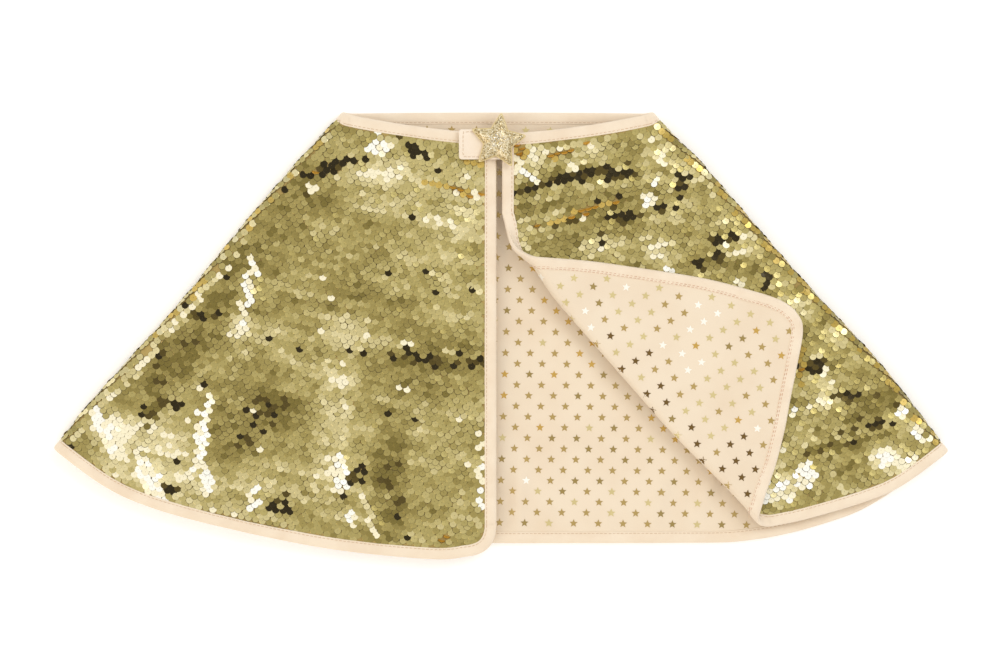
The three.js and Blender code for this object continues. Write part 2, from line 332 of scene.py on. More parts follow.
# Soft folds in the cloth: height, and place as (x, y, direction in degrees, length, width)
BACK_RIDGES = [
    (2.6, (16, -128, 88, 62, 11)), (0.9, (40, -150, 70, 22, 8)), (1.2, (88, -150, 82, 24, 9)),
    (2.6, (128, -132, 78, 46, 13)), (2.4, (166, -128, 68, 40, 12)), (1.6, (60, -20, 130, 80, 26)),
]  # fmt: skip
RIGHT_FRONT_RIDGES = [
    (2.0, (-315, -70, 118, 60, 16)), (2.0, (-280, -112, 118, 46, 16)), (2.2, (-240, -75, 82, 80, 14)),
    (1.8, (-200, 25, 80, 70, 14)), (1.8, (-198, -135, 75, 40, 14)), (2.0, (-128, -112, 92, 50, 14)),
    (1.4, (-100, -146, 112, 30, 12)), (1.6, (-125, 136, 16, 60, 14)), (1.4, (-50, 92, -10, 80, 16)),
]  # fmt: skip
LEFT_FRONT_RIDGES = [
    (1.6, (96, 112, 14, 90, 14)), (1.6, (180, 90, -30, 70, 16)), (1.6, (285, -60, 20, 60, 14)),
    (1.6, (245, -112, 80, 34, 12)),
]  # fmt: skip
FLAP_RIDGES = [
    (0.8, (150, 20, -20, 70, 20)), (0.8, (200, -40, 70, 70, 20)),
]  # fmt: skip


def rolling(plan, crests, folds, seed, lift=0.8):
    """Gentle waves and creases that die out towards the folds."""
    height = lift * (value_noise(*plan.T / 55, seed) + 0.3 * value_noise(*plan.T / 19, seed + 1))
    for top, place in crests:
        height += top * np.exp(-(reach(plan, *place) ** 2))
    for fold in folds:
        height *= smoothstep(-fold.locate(plan)[1] / 30)
    return height


def back_height(plan):
    return BACK_LEVEL + rolling(plan, BACK_RIDGES, [RIGHT_FOLD, LEFT_FOLD], 3, 0.7)


def right_front_height(plan):
    sunk = smoothstep(-RIGHT_FOLD.locate(plan)[1] / 60)
    return FRONT_LEVEL - sunk + rolling(plan, RIGHT_FRONT_RIDGES, [RIGHT_FOLD], 5)


def left_front_height(plan):
    return FRONT_LEVEL + 0.5 * rolling(plan, LEFT_FRONT_RIDGES, [LEFT_FOLD, CREASE], 7)


def flap_height(plan):
    t, beyond = CREASE.locate(plan)
    risen = bump(beyond, 0, 28)
    settled = FLAP_LEVEL + rolling(plan, FLAP_RIDGES, [CREASE], 9, 0.5)
    return (FRONT_LEVEL + 2 * crease_radius(t)) * risen + settled * (1 - risen)


BACK = Panel(-1, back_height, [(RIGHT_FOLD, -1), (LEFT_FOLD, -1)])
RIGHT_FRONT = Panel(1, right_front_height, [(RIGHT_FOLD, 1)])
LEFT_FRONT = Panel(1, left_front_height, [(LEFT_FOLD, 1), (CREASE, -1)])
FLAP = Panel(-1, flap_height, [(CREASE, 1)])


# ---- Edges ----


def cut(edge, *folds):
    """The part of an edge that is inside the centre lines of its folds."""
    for fold in folds:
        beyond = fold.locate(edge)[1]
        inside = np.flatnonzero(beyond < 0)
        runs = [edge[inside[0] : inside[-1] + 1]]
        for here, there, place in ((inside[0], inside[0] - 1, 0), (inside[-1], inside[-1] + 1, 2)):
            if 0 <= there < len(edge):
                share = beyond[here] / (beyond[here] - beyond[there])
                runs.insert(place, [edge[here] + share * (edge[there] - edge[here])])
        edge = join(*runs)
    return edge


back_hem = spline([
    RIGHT_HEM_CORNER, (-304, -126), (-264, -141.5), (-204, -156.5), (-130, -166.5),
    (130, -167.6), (204, -165), (264, -151), (304, -133.5), LEFT_HEM_CORNER,
])  # fmt: skip
back_neck = bend(LEFT_NECK_CORNER, (0, 178.5), RIGHT_NECK_CORNER, 40)
right_hem = join(
    spline([
        RIGHT_HEM_CORNER, (-315, -122.5), (-275, -140), (-215, -156), (-135, -172), (-55, -180), (-26, -178),
    ]),
    bend((-26, -178), (RIGHT_FRONT_EDGE_X, -176), (RIGHT_FRONT_EDGE_X, -152)),
)  # fmt: skip
right_edge = np.array([(RIGHT_FRONT_EDGE_X, -152), (RIGHT_FRONT_EDGE_X, FRONT_NECK_Y)])
right_neck = bend((RIGHT_FRONT_EDGE_X, FRONT_NECK_Y), (-62, 163), RIGHT_NECK_CORNER, 30)
left_hem = spline([
    (196, -152.6), (212, -153.8), (222, -153), (249, -147), (294, -133.5), (323, -120.5), LEFT_HEM_CORNER,
])  # fmt: skip
left_neck = bend(LEFT_NECK_CORNER, (62, 163), (LEFT_FRONT_EDGE_X, FRONT_NECK_Y), 30)
left_edge = resample(np.array([(LEFT_FRONT_EDGE_X, FRONT_NECK_Y), (LEFT_FRONT_EDGE_X, 70)]), 40)
flap_edge = spline([
    (200, -162), (206, -147), (213, -125), (220.4, -104), (227.4, -76.8), (232, -52), (237, -27), (242, 3),
    (237, 17), (224, 27), (200, 35), (160, 45), (96, 55), (68, 58.6), (36, 61), (8, 63),
])  # fmt: skip

# The edges that the tapes follow, named as the CAD's bindings
EDGES = {
    "back_hem": cut(back_hem, RIGHT_FOLD, LEFT_FOLD),
    "back_neck": cut(back_neck, RIGHT_FOLD, LEFT_FOLD),
    "right_front_hem": cut(right_hem, RIGHT_FOLD),
    "right_front_edge": right_edge,
    "right_front_neck": cut(right_neck, RIGHT_FOLD),
    "left_front_hem": cut(left_hem, LEFT_FOLD, CREASE),
    "left_front_edge": cut(left_edge, CREASE),
    "left_front_neck": cut(left_neck, LEFT_FOLD),
    "flap": cut(flap_edge, CREASE),
}

FOLD_STEPS = 17


def across_fold(fold, upper, lower, at_end):
    """The edge over a fold, from the upper panel to the lower one, as (t, beyond).

    It is on the upper panel's flat cloth, and leaves and arrives in line with both panels' edges. at_end
    says for each edge whether it meets the fold at its end or at its start."""

    def end(name, last):
        edge = EDGES[name]
        ts, beyonds = fold.locate(edge[[-1, -3]] if last else edge[[0, 2]])
        return ts[0], (ts[0] - ts[1]) / (beyonds[0] - beyonds[1])

    (t0, slope0), (t1, slope1) = end(upper, at_end[0]), end(lower, at_end[1])
    s = np.linspace(0, 1, FOLD_STEPS)
    t = (
        (2 * s**3 - 3 * s**2 + 1) * t0
        + (s**3 - 2 * s**2 + s) * slope0 * fold.half_turn(t0)
        + (3 * s**2 - 2 * s**3) * t1
        - (s**3 - s**2) * slope1 * fold.half_turn(t1)
    )
    return np.column_stack([t, s * fold.half_turn(t)])


# Each fold: the front panel whose flat cloth it is laid out on, its lower and upper bodies, and its two
# end edges
FOLDS = {
    "right_side_fold": (
        RIGHT_FOLD, RIGHT_FRONT, "back", "right_front",
        across_fold(RIGHT_FOLD, "right_front_neck", "back_neck", (True, True)),
        across_fold(RIGHT_FOLD, "right_front_hem", "back_hem", (False, False)),
    ),
    "left_side_fold": (
        LEFT_FOLD, LEFT_FRONT, "back", "left_front",
        across_fold(LEFT_FOLD, "left_front_hem", "back_hem", (True, True)),
        across_fold(LEFT_FOLD, "left_front_neck", "back_neck", (False, False)),
    ),
    "crease": (
        CREASE, LEFT_FRONT, "left_front", "flap",
        across_fold(CREASE, "left_front_edge", "flap", (True, True)),
        across_fold(CREASE, "left_front_hem", "flap", (False, False)),
    ),
}  # fmt: skip


# ---- Materials ----


def colour(red, green, blue):
    """Screen colour from 0 to 255, as the linear colour that the shader takes."""
    channels = (np.array((red, green, blue)) / 255.0).tolist()
    linear = [c / 12.92 if c <= 0.04045 else ((c + 0.055) / 1.055) ** 2.4 for c in channels]
    return (*linear, 1.0)


def new_material(name, **inputs):
    material = bpy.data.materials.new(name)
    material.use_nodes = True
    shader = material.node_tree.nodes["Principled BSDF"]
    for socket, value in inputs.items():
        shader.inputs[socket.replace("_", " ")].default_value = value
    material.diffuse_color = shader.inputs["Base Color"].default_value
    return material, material.node_tree, shader


def add_node(tree, kind, **settings):
    """A node with its settings. A setting that is another node's output is linked to that input."""
    node = tree.nodes.new(kind)
    for name, value in settings.items():
        if isinstance(value, bpy.types.NodeSocket):
            tree.links.new(value, node.inputs[name])
        elif name in node.inputs:
            node.inputs[name].default_value = value
        else:
            setattr(node, name, value)
    return node


def object_place(tree):
    return add_node(tree, "ShaderNodeTexCoord").outputs["Object"]


def ramp_between(tree, factor, stops, interpolation="LINEAR"):
    """A colour ramp through stops of (position, colour)."""
    node = add_node(tree, "ShaderNodeValToRGB", Fac=factor)
    ramp = node.color_ramp
    ramp.interpolation = interpolation
    for position, shade in stops[1:-1]:
        ramp.elements.new(position)
    for element, (position, shade) in zip(ramp.elements, stops):
        element.position, element.color = position, shade
    return node.outputs["Color"]


def add_bump(tree, shader, height, strength, distance):
    lift = add_node(tree, "ShaderNodeBump", Strength=strength, Distance=distance, Height=height)
    tree.links.new(lift.outputs["Normal"], shader.inputs["Normal"])


def weave(tree, place, pitch):
    """The height of a plain weave of that pitch in metres: warp and weft, each raised in turn."""
    both = add_node(tree, "ShaderNodeMath", operation="MAXIMUM")
    for direction, socket in zip("XY", both.inputs):
        wave = add_node(tree, "ShaderNodeTexWave", bands_direction=direction, Distortion=0.6, Vector=place)
        wave.inputs["Scale"].default_value = 0.314 / pitch
        tree.links.new(wave.outputs["Fac"], socket)
    return both.outputs[0]


def cloth_material(name, light, shade, pitch, blotch, relief=0.25, **inputs):
    """Woven cloth: threads of a pitch in mm, a soft mottle from light to shade, and a sheen."""
    light, shade = colour(*light), colour(*shade)
    material, tree, shader = new_material(name, **{"Base_Color": light, "Roughness": 0.72, **inputs})
    place = object_place(tree)
    threads = weave(tree, place, pitch * MM)
    mottle = add_node(tree, "ShaderNodeTexNoise", Scale=1 / blotch, Detail=3.0, Roughness=0.55, Vector=place)
    tone = ramp_between(tree, mottle.outputs["Fac"], [(0.32, shade), (0.62, light)])
    mix = add_node(
        tree, "ShaderNodeMix", data_type="RGBA", blend_type="MULTIPLY", Factor=0.12, A=tone, B=threads
    )
    tree.links.new(mix.outputs["Result"], shader.inputs["Base Color"])
    add_bump(tree, shader, threads, relief, 0.15 * MM)
    return material


def foil(name, tone, roughness, metallic):
    """Metal foil under a clear film, glossier in some places than in others."""
    looks = {"Base_Color": colour(*tone), "Metallic": metallic, "Roughness": roughness}
    material, tree, shader = new_material(name, **looks)
    film = add_node(tree, "ShaderNodeTexNoise", Scale=260.0, Detail=2.0, Vector=object_place(tree))
    thin = add_node(tree, "ShaderNodeMath", operation="MULTIPLY")
    thin.inputs[1].default_value = 0.3
    tree.links.new(film.outputs["Fac"], thin.inputs[0])
    tree.links.new(thin.outputs[0], shader.inputs["Coat Weight"])
    return material


def glitter_material():
    """Film covered in coarse glitter: each grain has its own tone, tilt and gloss. The pale and white grain
    tones are painted glints, beside the real tilt from the bump.
    """
    material, tree, shader = new_material("glitter_film", Metallic=0.6, Roughness=0.45)
    grains = add_node(tree, "ShaderNodeTexVoronoi", Scale=1150.0, Randomness=1.0, Vector=object_place(tree))
    chance = add_node(tree, "ShaderNodeSeparateColor", Color=grains.outputs["Color"])
    tones = [
        (0.0, (150, 128, 84)), (0.14, (198, 176, 126)), (0.4, (228, 212, 172)), (0.8, (248, 238, 208)),
        (1.0, (255, 252, 240)),
    ]  # fmt: skip
    stops = [(position, colour(*tone)) for position, tone in tones]
    tree.links.new(ramp_between(tree, chance.outputs["Red"], stops, "CONSTANT"), shader.inputs["Base Color"])
    add_bump(tree, shader, chance.outputs["Green"], 0.9, 0.5 * MM)
    return material


LINING_CLOTH = cloth_material(
    "printed_lining", (242, 226, 202), (237, 218, 192), 0.4, 0.05, 0.2, Roughness=0.55, Sheen_Weight=0.25
)
TAPE_CLOTH = cloth_material(
    "binding_tape", (247, 231, 208), (241, 222, 197), 0.5, 0.02, 0.3, Sheen_Weight=0.3
)
TAB_CLOTH = cloth_material("tab_cloth", (250, 236, 218), (245, 228, 206), 0.6, 0.02, 0.3, Sheen_Weight=0.3)
NET_CLOTH = cloth_material("sequin_net", (186, 162, 96), (150, 126, 66), 1.1, 0.03, 0.8, Roughness=0.8)
FELT = cloth_material("star_felt", (232, 214, 170), (214, 192, 144), 0.9, 0.006, 0.9)
WADDING = cloth_material("star_wadding", (246, 242, 232), (232, 226, 212), 1.6, 0.004, 1.0)
LOOP_CLOTH = cloth_material("loop_nylon", (243, 232, 212), (226, 212, 186), 0.7, 0.004, 0.9)
HOOK_CLOTH = cloth_material("hook_nylon", (244, 234, 216), (230, 216, 192), 0.9, 0.006, 0.6)
THREAD, SEAM_THREAD = (
    new_material(name, Base_Color=colour(*tone), Roughness=0.6, Sheen_Weight=0.4)[0]
    for name, tone in (("sewing_thread", (208, 180, 148)), ("seam_thread", (206, 160, 128)))
)
NYLON_HOOK = new_material("nylon_hook", Base_Color=colour(250, 244, 230), Roughness=0.35, Coat_Weight=0.3)[0]

# Sequin foils from darkest to brightest, each with its share of the sequins, then the odd coloured ones.
# Their tones are painted reflections:
# the darkest paint dark reflections, ivory and white paint glints, and amber, brass and honey paint warm
# reflections
FOILS = [
    ("black_gold", (46, 38, 12), 0.002),
    ("deep_olive", (88, 75, 32), 0.006),
    ("olive", (127, 114, 57), 0.052),
    ("old_gold", (152, 138, 78), 0.13),
    ("dull_gold", (168, 154, 92), 0.21),
    ("gold", (182, 169, 107), 0.235),
    ("fair_gold", (197, 184, 124), 0.175),
    ("light_gold", (213, 201, 147), 0.11),
    ("pale_gold", (232, 221, 172), 0.055),
    ("ivory", (250, 243, 212), 0.025),
    ("white", (255, 255, 247), 0.01),
    ("amber", (214, 160, 56), 0),
    ("brass", (206, 178, 94), 0),
    ("honey", (176, 150, 62), 0),
]
FOIL_INDEX = {name: i for i, (name, _, _) in enumerate(FOILS)}
# Foils of painted glints and painted warm reflections are less metallic, so that their painted tone shows
PAINTED_LIGHT_FOILS = ("ivory", "white", "amber", "honey")
SEQUIN_FOILS = [foil(f"sequin_{name}", tone, 0.26, 0.3 if name in PAINTED_LIGHT_FOILS else 0.8) for name, tone, _ in FOILS]
# A painted shadow for the rims of some sequins, standing in for the shadow under a lifted edge
SEQUIN_SHADOW_RIM = foil("sequin_painted_shadow_rim", (66, 54, 20), 0.5, 0.5)
# Shares of single sequins given painted dark reflections, and of those given painted glints
STRAY_DARK_REFLECTION = 0.005
STRAY_GLINT = 0.004
SHARE_ENDS = np.cumsum([share for _, _, share in FOILS if share])

# Star foils of the printed lining: gold, olive, amber and pale are print tones, which patches also use for
# painted warm shade and painted light; white stars are painted glints and brown ones painted dark reflections
STAR_FOILS = [
    foil(f"star_{name}", tone, 0.35, 0.6) for name, tone in (
        ("gold", (184, 158, 98)), ("olive", (162, 140, 84)), ("amber", (204, 166, 84)),
        ("pale", (216, 200, 146)),
    )
]  # fmt: skip
STAR_FOILS += [foil("star_painted_glint", (255, 253, 244), 0.3, 0.3), foil("star_painted_dark_reflection", (112, 86, 40), 0.35, 0.6)]


# ---- Making pieces ----


def add_piece(name, parts, body=None, nodes=(), smooth=True, tidy=False):
    """A mesh of one or more (vertices, faces, material) parts, with the faces as arrays of indices.

    A part's material may be a list, with one number for each face after it. The piece rides on a body and
    replaces the CAD's nodes."""
    materials, vertices, faces, numbers = [], [], [], []
    count = 0
    for points, groups, material, *tones in parts:
        first = len(materials)
        materials += material if isinstance(material, list) else [material]
        for group in groups:
            faces += (group + count).tolist()
        made = sum(len(group) for group in groups)
        numbers.append(first + (tones[0] if tones else np.zeros(made, int)))
        vertices.append(points)
        count += len(points)
    mesh = bpy.data.meshes.new(name)
    mesh.from_pydata((np.vstack(vertices) + SHIFT) * MM, [], faces)
    for material in materials:
        mesh.materials.append(material)
    mesh.polygons.foreach_set("material_index", np.concatenate(numbers).astype(np.int32))
    mesh.polygons.foreach_set("use_smooth", np.full(len(mesh.polygons), smooth))
    if tidy:
        work = bmesh.new()
        work.from_mesh(mesh)
        bmesh.ops.remove_doubles(work, verts=work.verts, dist=1e-7)
        bmesh.ops.recalc_face_normals(work, faces=work.faces)
        work.to_mesh(mesh)
        work.free()
    if smooth:
        mesh.set_sharp_from_angle(angle=math.radians(50))
    mesh.update()
    piece = bpy.data.objects.new(name, mesh)
    bpy.context.scene.collection.objects.link(piece)
    if nodes:
        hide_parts(*nodes)
    if body:
        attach(piece, body)
    return piece


def scatter(template, faces, origins, axes):
    """Copies of a small shape, one at each origin with its own axes."""
    points = origins[:, None] + np.einsum("kj,njc->nkc", template, axes)
    offsets = np.arange(len(origins))[:, None, None] * len(template)
    return points.reshape(-1, 3), (faces[None] + offsets).reshape(-1, faces.shape[1])


def slab(panel, grid, low, high):
    """A closed sheet over a grid of flat cloth, between two heights above the cloth's middle."""
    rows, columns = grid.shape[:2]
    flat = grid.reshape(-1, 2)
    count = len(flat)
    index = np.arange(count).reshape(rows, columns)
    quads = np.stack([index[:-1, :-1], index[1:, :-1], index[1:, 1:], index[:-1, 1:]], -1).reshape(-1, 4)
    border = np.concatenate([index[:-1, 0], index[-1, :-1], index[:0:-1, -1], index[0, :0:-1]])
    following = np.roll(border, -1)
    walls = np.stack([border, following, following + count, border + count], -1)
    points = np.vstack([panel.at(flat, low), panel.at(flat, high)])
    return points, [quads[:, ::-1], quads + count, walls]


def coons(bottom, top, left, right, spacing=3.2):
    """A grid of points that fills the space between four edges."""
    middle = [resample(edge, 3)[1] for edge in (bottom, top)]
    columns = int(max(distance_along(edge)[-1] for edge in (bottom, top)) / spacing) + 2
    rows = int(max(distance_along(edge)[-1] for edge in (left, right, middle)) / spacing) + 2
    bottom, top = resample(bottom, columns)[:, None], resample(top, columns)[:, None]
    left, right = resample(left, rows)[None], resample(right, rows)[None]
    u = np.linspace(0, 1, columns)[:, None, None]
    v = np.linspace(0, 1, rows)[None, :, None]
    corners = (1 - v) * ((1 - u) * bottom[0] + u * bottom[-1]) + v * ((1 - u) * top[0] + u * top[-1])
    return (1 - v) * bottom + v * top + (1 - u) * left + u * right - corners


def flat_size(grid):
    """Width, length and area of a grid of flat cloth, in metres."""
    size = np.ptp(grid.reshape(-1, 2), axis=0) * MM
    ahead, up = np.diff(grid, axis=0)[:, :-1], np.diff(grid, axis=1)[:-1]
    area = np.abs(ahead[..., 0] * up[..., 1] - ahead[..., 1] * up[..., 0]).sum() * MM**2
    return size, area


# ---- Bindings ----

# Half of a folded tape's section, as (distance from its outer edge, height), ending inside its fold
TAPE_SECTION = np.array([
    (0.0, 0.0), (0.08, 0.75), (0.45, 1.4), (1.2, 1.85), (2.4, 2.12), (4.2, 2.22), (6.2, 2.12), (7.3, 1.95),
    (7.9, 1.72), (8.5, 1.86), (9.1, 1.8), (9.4, 1.5), (9.3, 1.3), (5.0, 1.3), (1.2, 1.15),
])  # fmt: skip
STITCH_LINE = 7.9
FLAP_STITCH_LINES = (7.3, 8.7)
STITCH_PITCH = 3.3
STITCH_LEVEL = 1.8
OVERSHOOT = 1.0
# How far a tape sways sideways, and shares of its height by which it is uneven and puckered
SWAY = 0.35
UNEVEN = 0.09
PUCKER = 0.03


def tape(panel, path, seed):
    """A tape folded over an edge of the flat cloth, puckered a little between its stitches."""
    section = np.vstack([TAPE_SECTION, TAPE_SECTION[:0:-1] * (1, -1)])
    length = distance_along(path)[-1]
    count = max(int(length / (STITCH_PITCH / 2)), 4)
    path = resample(path, count)
    side = inward(path)
    s = np.linspace(0, length, count)
    w, h = section.T
    settled = smoothstep(np.minimum(s, length - s) / 8 - 0.2)
    sway = settled * SWAY * (value_noise(s / 23, 0 * s, seed) - 0.5)
    uneven = UNEVEN * (value_noise(s / 4, 0 * s, seed + 1) - 0.5)
    pucker = settled * (uneven + PUCKER * np.cos(np.pi * np.arange(count)))
    near_stitches = np.exp(-(((w - STITCH_LINE) / 1.2) ** 2))
    distance = w[None] + sway[:, None] * (w[None] / TAPE_WIDTH)
    height = h[None] * (1 + pucker[:, None] * (0.5 + near_stitches[None]))
    plan = path[:, None] + side[:, None] * distance[..., None]
    points = panel.at(plan.reshape(-1, 2), height.ravel())
    points, walls = tube(points, count)
    caps = np.arange(len(points)).reshape(count, -1)[[0, -1]]
    return points, [walls, caps[:1, ::-1], caps[1:]], TAPE_CLOTH


# A stitch is a short rounded rod along its first axis
STITCH_POINTS, STITCH_FACES = lathe([(0.08, -1.25), (0.24, -0.85), (0.24, 0.85), (0.08, 1.25)], 6)
STITCH_POINTS = STITCH_POINTS[:, [2, 0, 1]]


def stitch_row(origins, along, up, material):
    points, quads = scatter(STITCH_POINTS, STITCH_FACES, origins, axes_from(unit(along), up))
    return points, [quads], material


def binding(name, panel, path, body, nodes, seed):
    """A tape, and rows of stitches at their distances inside its edge, on both faces of the cloth."""
    path = extended(path, OVERSHOOT)
    parts = [tape(panel, path, seed)]
    for distance in FLAP_STITCH_LINES if panel is FLAP else (STITCH_LINE,):
        line = path + inward(path) * distance
        line = resample(line, int(distance_along(line)[-1] / STITCH_PITCH))
        ahead = line + np.gradient(line, axis=0) * 0.02
        for height in (STITCH_LEVEL, -STITCH_LEVEL):
            origins = panel.at(line, height)
            along = panel.at(ahead, height) - origins
            thread = SEAM_THREAD if panel is FLAP else THREAD
            parts.append(stitch_row(origins, along, panel.frames(line)[:, 2], thread))
    return add_piece(name, parts, body, nodes, tidy=True)


# ---- Sequins ----

SEQUIN_RADIUS = 3.0
SEQUIN_PITCH = 5.7
ROW_PITCH = 3.7
SHINGLE = math.radians(5.5)
STANDING = math.radians(50)
SEQUIN_LEVEL = CLOTH_HALF + 0.08
SEWN_LIFT = 0.42
# How far rows waver, and single sequins stray from them
ROW_WAVER = 2.4
PLACE_CHANCE = 0.28
# How much single sequins tilt, in degrees: by chance across and along the row, and in swells
PITCH_CHANCE = 2.6
ROLL_CHANCE = 3.2
PITCH_SWELL = 6
# Sequins get a painted shadow on their rim where two noises together are over this
SHADOW_RIM_LEVEL = 1.1
# What a sequin's rank is made of
STREAK_WEIGHT = 0.45
BLOTCH_WEIGHT = 0.35
CHANCE_WEIGHT = 0.11

# Rings of a sequin, as (radius, height): a cut edge, which on some sequins carries a painted shadow, a face
# and a thread hole
SEQUIN_RINGS = [(SEQUIN_RADIUS, -0.14), (SEQUIN_RADIUS - 0.22, 0.0), (0.22, -0.05)]
FINE_SEQUIN = lathe(SEQUIN_RINGS, 12)
PLAIN_SEQUIN = lathe(SEQUIN_RINGS, 6)


def lattice(low, high, direction):
    """Places for sequins sewn edge to edge in wavering rows, each row half a sequin off the last."""
    corners = np.array([(x, y) for x in (low[0], high[0]) for y in (low[1], high[1])])
    places, rows = (
        np.arange(math.floor(run.min() / pitch), math.ceil(run.max() / pitch) + 1)
        for run, pitch in zip(turned(corners, direction), (SEQUIN_PITCH, ROW_PITCH))
    )
    column, row = np.meshgrid(places, rows)
    u = (column + 0.5 * (row % 2)).ravel() * SEQUIN_PITCH
    v = row.ravel() * ROW_PITCH
    waver = np.array([value_noise(u / 38, v / 30, seed) - 0.5 for seed in (61, 62)])
    chance = np.random.default_rng(63).normal(0, PLACE_CHANCE, waver.shape)
    return np.column_stack(turned(((u, v) + ROW_WAVER * waver + chance).T, -direction))


def foil_ranks(plan, direction, shading_swells, seed):
    """A rank from 0, darkest, to 1, brightest, for each sequin, which sets its painted reflection: streaks
    along the rows, blotches, and chance.

    Shading swells are wide patches of painted light and painted shade: (change, place)."""
    along, across = turned(plan, direction)
    streaks = value_noise(along / 40, across / 7, seed) + 0.5 * value_noise(along / 15, across / 4, seed + 1)
    blotches = value_noise(plan[:, 0] / 26, plan[:, 1] / 22, seed + 2)
    chance = np.random.default_rng(seed + 3).normal(size=len(plan))
    value = STREAK_WEIGHT * streaks + BLOTCH_WEIGHT * blotches + CHANCE_WEIGHT * chance
    for change, place in shading_swells:
        value += change * smoothstep(1.5 - reach(plan, *place))
    return np.argsort(np.argsort(value)) / len(plan)


def foils(plan, direction, marks, shading_swells, seed):
    """The foil of each sequin, whose tone is a painted reflection. Marks are patches of painted glints,
    reflections and shade: (foils, share, place, more places of the same).

    A place is (x, y, direction, length, width). A mark is whole out to 0.7 of its outline, gone at 1.3."""
    ranks = foil_ranks(plan, direction, shading_swells, seed)
    chosen = np.searchsorted(SHARE_ENDS, ranks).clip(0, len(SHARE_ENDS) - 1)
    draw = np.random.default_rng(seed + 4).random(len(plan))
    pick = np.random.default_rng(seed + 5).random(len(plan))
    for names, share, *places in marks:
        options = np.array([FOIL_INDEX[n] for n in names])[(pick * len(names)).astype(int)]
        for place in places:
            hit = draw < share * np.clip(2.2 - 1.7 * reach(plan, *place), 0, 1)
            chosen = np.where(hit, options, chosen)
    # Some single sequins by chance get painted dark reflections, and some painted glints
    stray = np.random.default_rng(seed + 6).random(len(plan))
    chosen[stray < STRAY_DARK_REFLECTION] = FOIL_INDEX["black_gold"]
    chosen[stray > 1 - STRAY_GLINT] = FOIL_INDEX["ivory"]
    return chosen


def mixed(angle, first, second):
    """The first vectors turned towards the second ones by an angle."""
    return first * np.cos(angle)[:, None] + second * np.sin(angle)[:, None]


def sequin_axes(panel, plan, direction, flatness, upright, seed):
    """Frames of sequins that overlap like shingles, each tilted a little by chance, and a few standing up."""
    axes = panel.frames(plan, direction)
    chance = np.random.default_rng(seed)
    along, across = turned(plan, direction)
    swell = value_noise(along / 30, across / 12, seed + 1) - 0.5
    pitch = (SHINGLE + np.radians(chance.normal(0, PITCH_CHANCE, len(plan)) + PITCH_SWELL * swell)) * flatness
    pitch += upright
    roll = np.radians(chance.normal(0, ROLL_CHANCE, len(plan))) * flatness
    spin = chance.random(len(plan)) * 2 * math.pi
    x, y, z = axes.transpose(1, 0, 2)
    y = mixed(pitch, y, -z)
    x = mixed(roll, x, z)
    z = unit(np.cross(x, y) * panel.outside)
    return np.stack([mixed(spin, x, y), mixed(spin, y, -x), z], axis=1)


def sequins(panel, plan, inside, direction, tones, template, seed):
    """Sequins on a panel. Those beside a tape, less far inside, are pressed flat under its edge."""
    loose = smoothstep((inside - TAPE_WIDTH) / 5)
    upright = np.where(tones == FOIL_INDEX["amber"], STANDING, 0)
    axes = sequin_axes(panel, plan, direction, loose, upright, seed)
    points, quads = scatter(*template, panel.at(plan, SEQUIN_LEVEL + SEWN_LIFT * loose), axes)
    used = np.unique(tones)
    numbers = np.repeat(np.searchsorted(used, tones) + 1, len(template[1])).reshape(len(plan), 2, -1)
    # Where two noises are high, the sequin's rim gets the painted shadow
    patches, chance = value_noise(*plan.T / [[14], [9]], seed + 9), value_noise(*plan.T, seed)
    numbers[patches + chance > SHADOW_RIM_LEVEL, 0] = 0
    return points, [quads], [SEQUIN_SHADOW_RIM, *(SEQUIN_FOILS[i] for i in used)], numbers.ravel()


# ---- Printed stars ----

PRINT_RADIUS = 3.4
PRINT_WAIST = 0.45
# Levels of a printed star's face and of its hidden base, over the lining's face
PRINT_LEVELS = (0.18, -0.1)


def star_outline(tip, waist, turn):
    angles = math.radians(turn) + np.arange(10) * math.pi / 5
    radii = np.where(np.arange(10) % 2 == 0, tip, tip * waist)
    return np.column_stack([radii * np.cos(angles), radii * np.sin(angles)])


def printed_stars(name, panel, plan, turn, tones, body=None):
    """Thin foil stars on the lining's face."""
    count = len(plan)
    spots = (plan[:, None] + star_outline(PRINT_RADIUS, PRINT_WAIST, turn)[None]).reshape(-1, 2)
    face, base = (-CLOTH_HALF - level for level in PRINT_LEVELS)
    points = np.vstack([panel.at(spots, face), panel.at(spots, base), panel.at(plan, face)])
    ring = np.arange(count * 10).reshape(count, 10)
    after = np.roll(ring, -1, axis=1)
    middle = (np.arange(count) + count * 20)[:, None].repeat(10, axis=1)
    top = np.stack([ring, after, middle], -1).reshape(-1, 3)
    sides = np.stack([ring, ring + count * 10, after + count * 10, after], -1).reshape(-1, 4)
    faces = [top[:, :: -panel.outside], sides[:, :: panel.outside]]
    part = (points, faces, STAR_FOILS, np.tile(np.repeat(tones, 10), 2))
    return add_piece(f"{name}_printed_stars", [part], body, smooth=False)


def star_places(low, high, start, first, second):
    """Places of a star print that repeats along two vectors."""
    steps = range(-60, 61)
    places = np.array([start + np.multiply(first, i) + np.multiply(second, j) for i in steps for j in steps])
    return places[((places > low) & (places < high)).all(axis=1)]


BACK_PRINT = ((26.4, 35.6), (19.8, -0.2), (9.6, -8.6))
FLAP_PRINT = ((59.2, 44.5), (10.9, 6.3), (4.55, -13.1))
BACK_PRINT_TURN = 88
FLAP_PRINT_TURN = 82


def star_tones(plan, seed, shares, patches=()):
    """A foil for each star by chance, with patches where one foil is commoner."""
    draw = np.random.default_rng(seed).random(len(plan))
    tones = np.searchsorted(np.cumsum(shares), draw * sum(shares)).clip(0, len(STAR_FOILS) - 1)
    again = np.random.default_rng(seed + 1).random(len(plan))
    for tone, share, place in patches:
        tones = np.where((reach(plan, *place) < 1) & (again < share), tone, tones)
    return tones


# ---- Panels as pieces ----

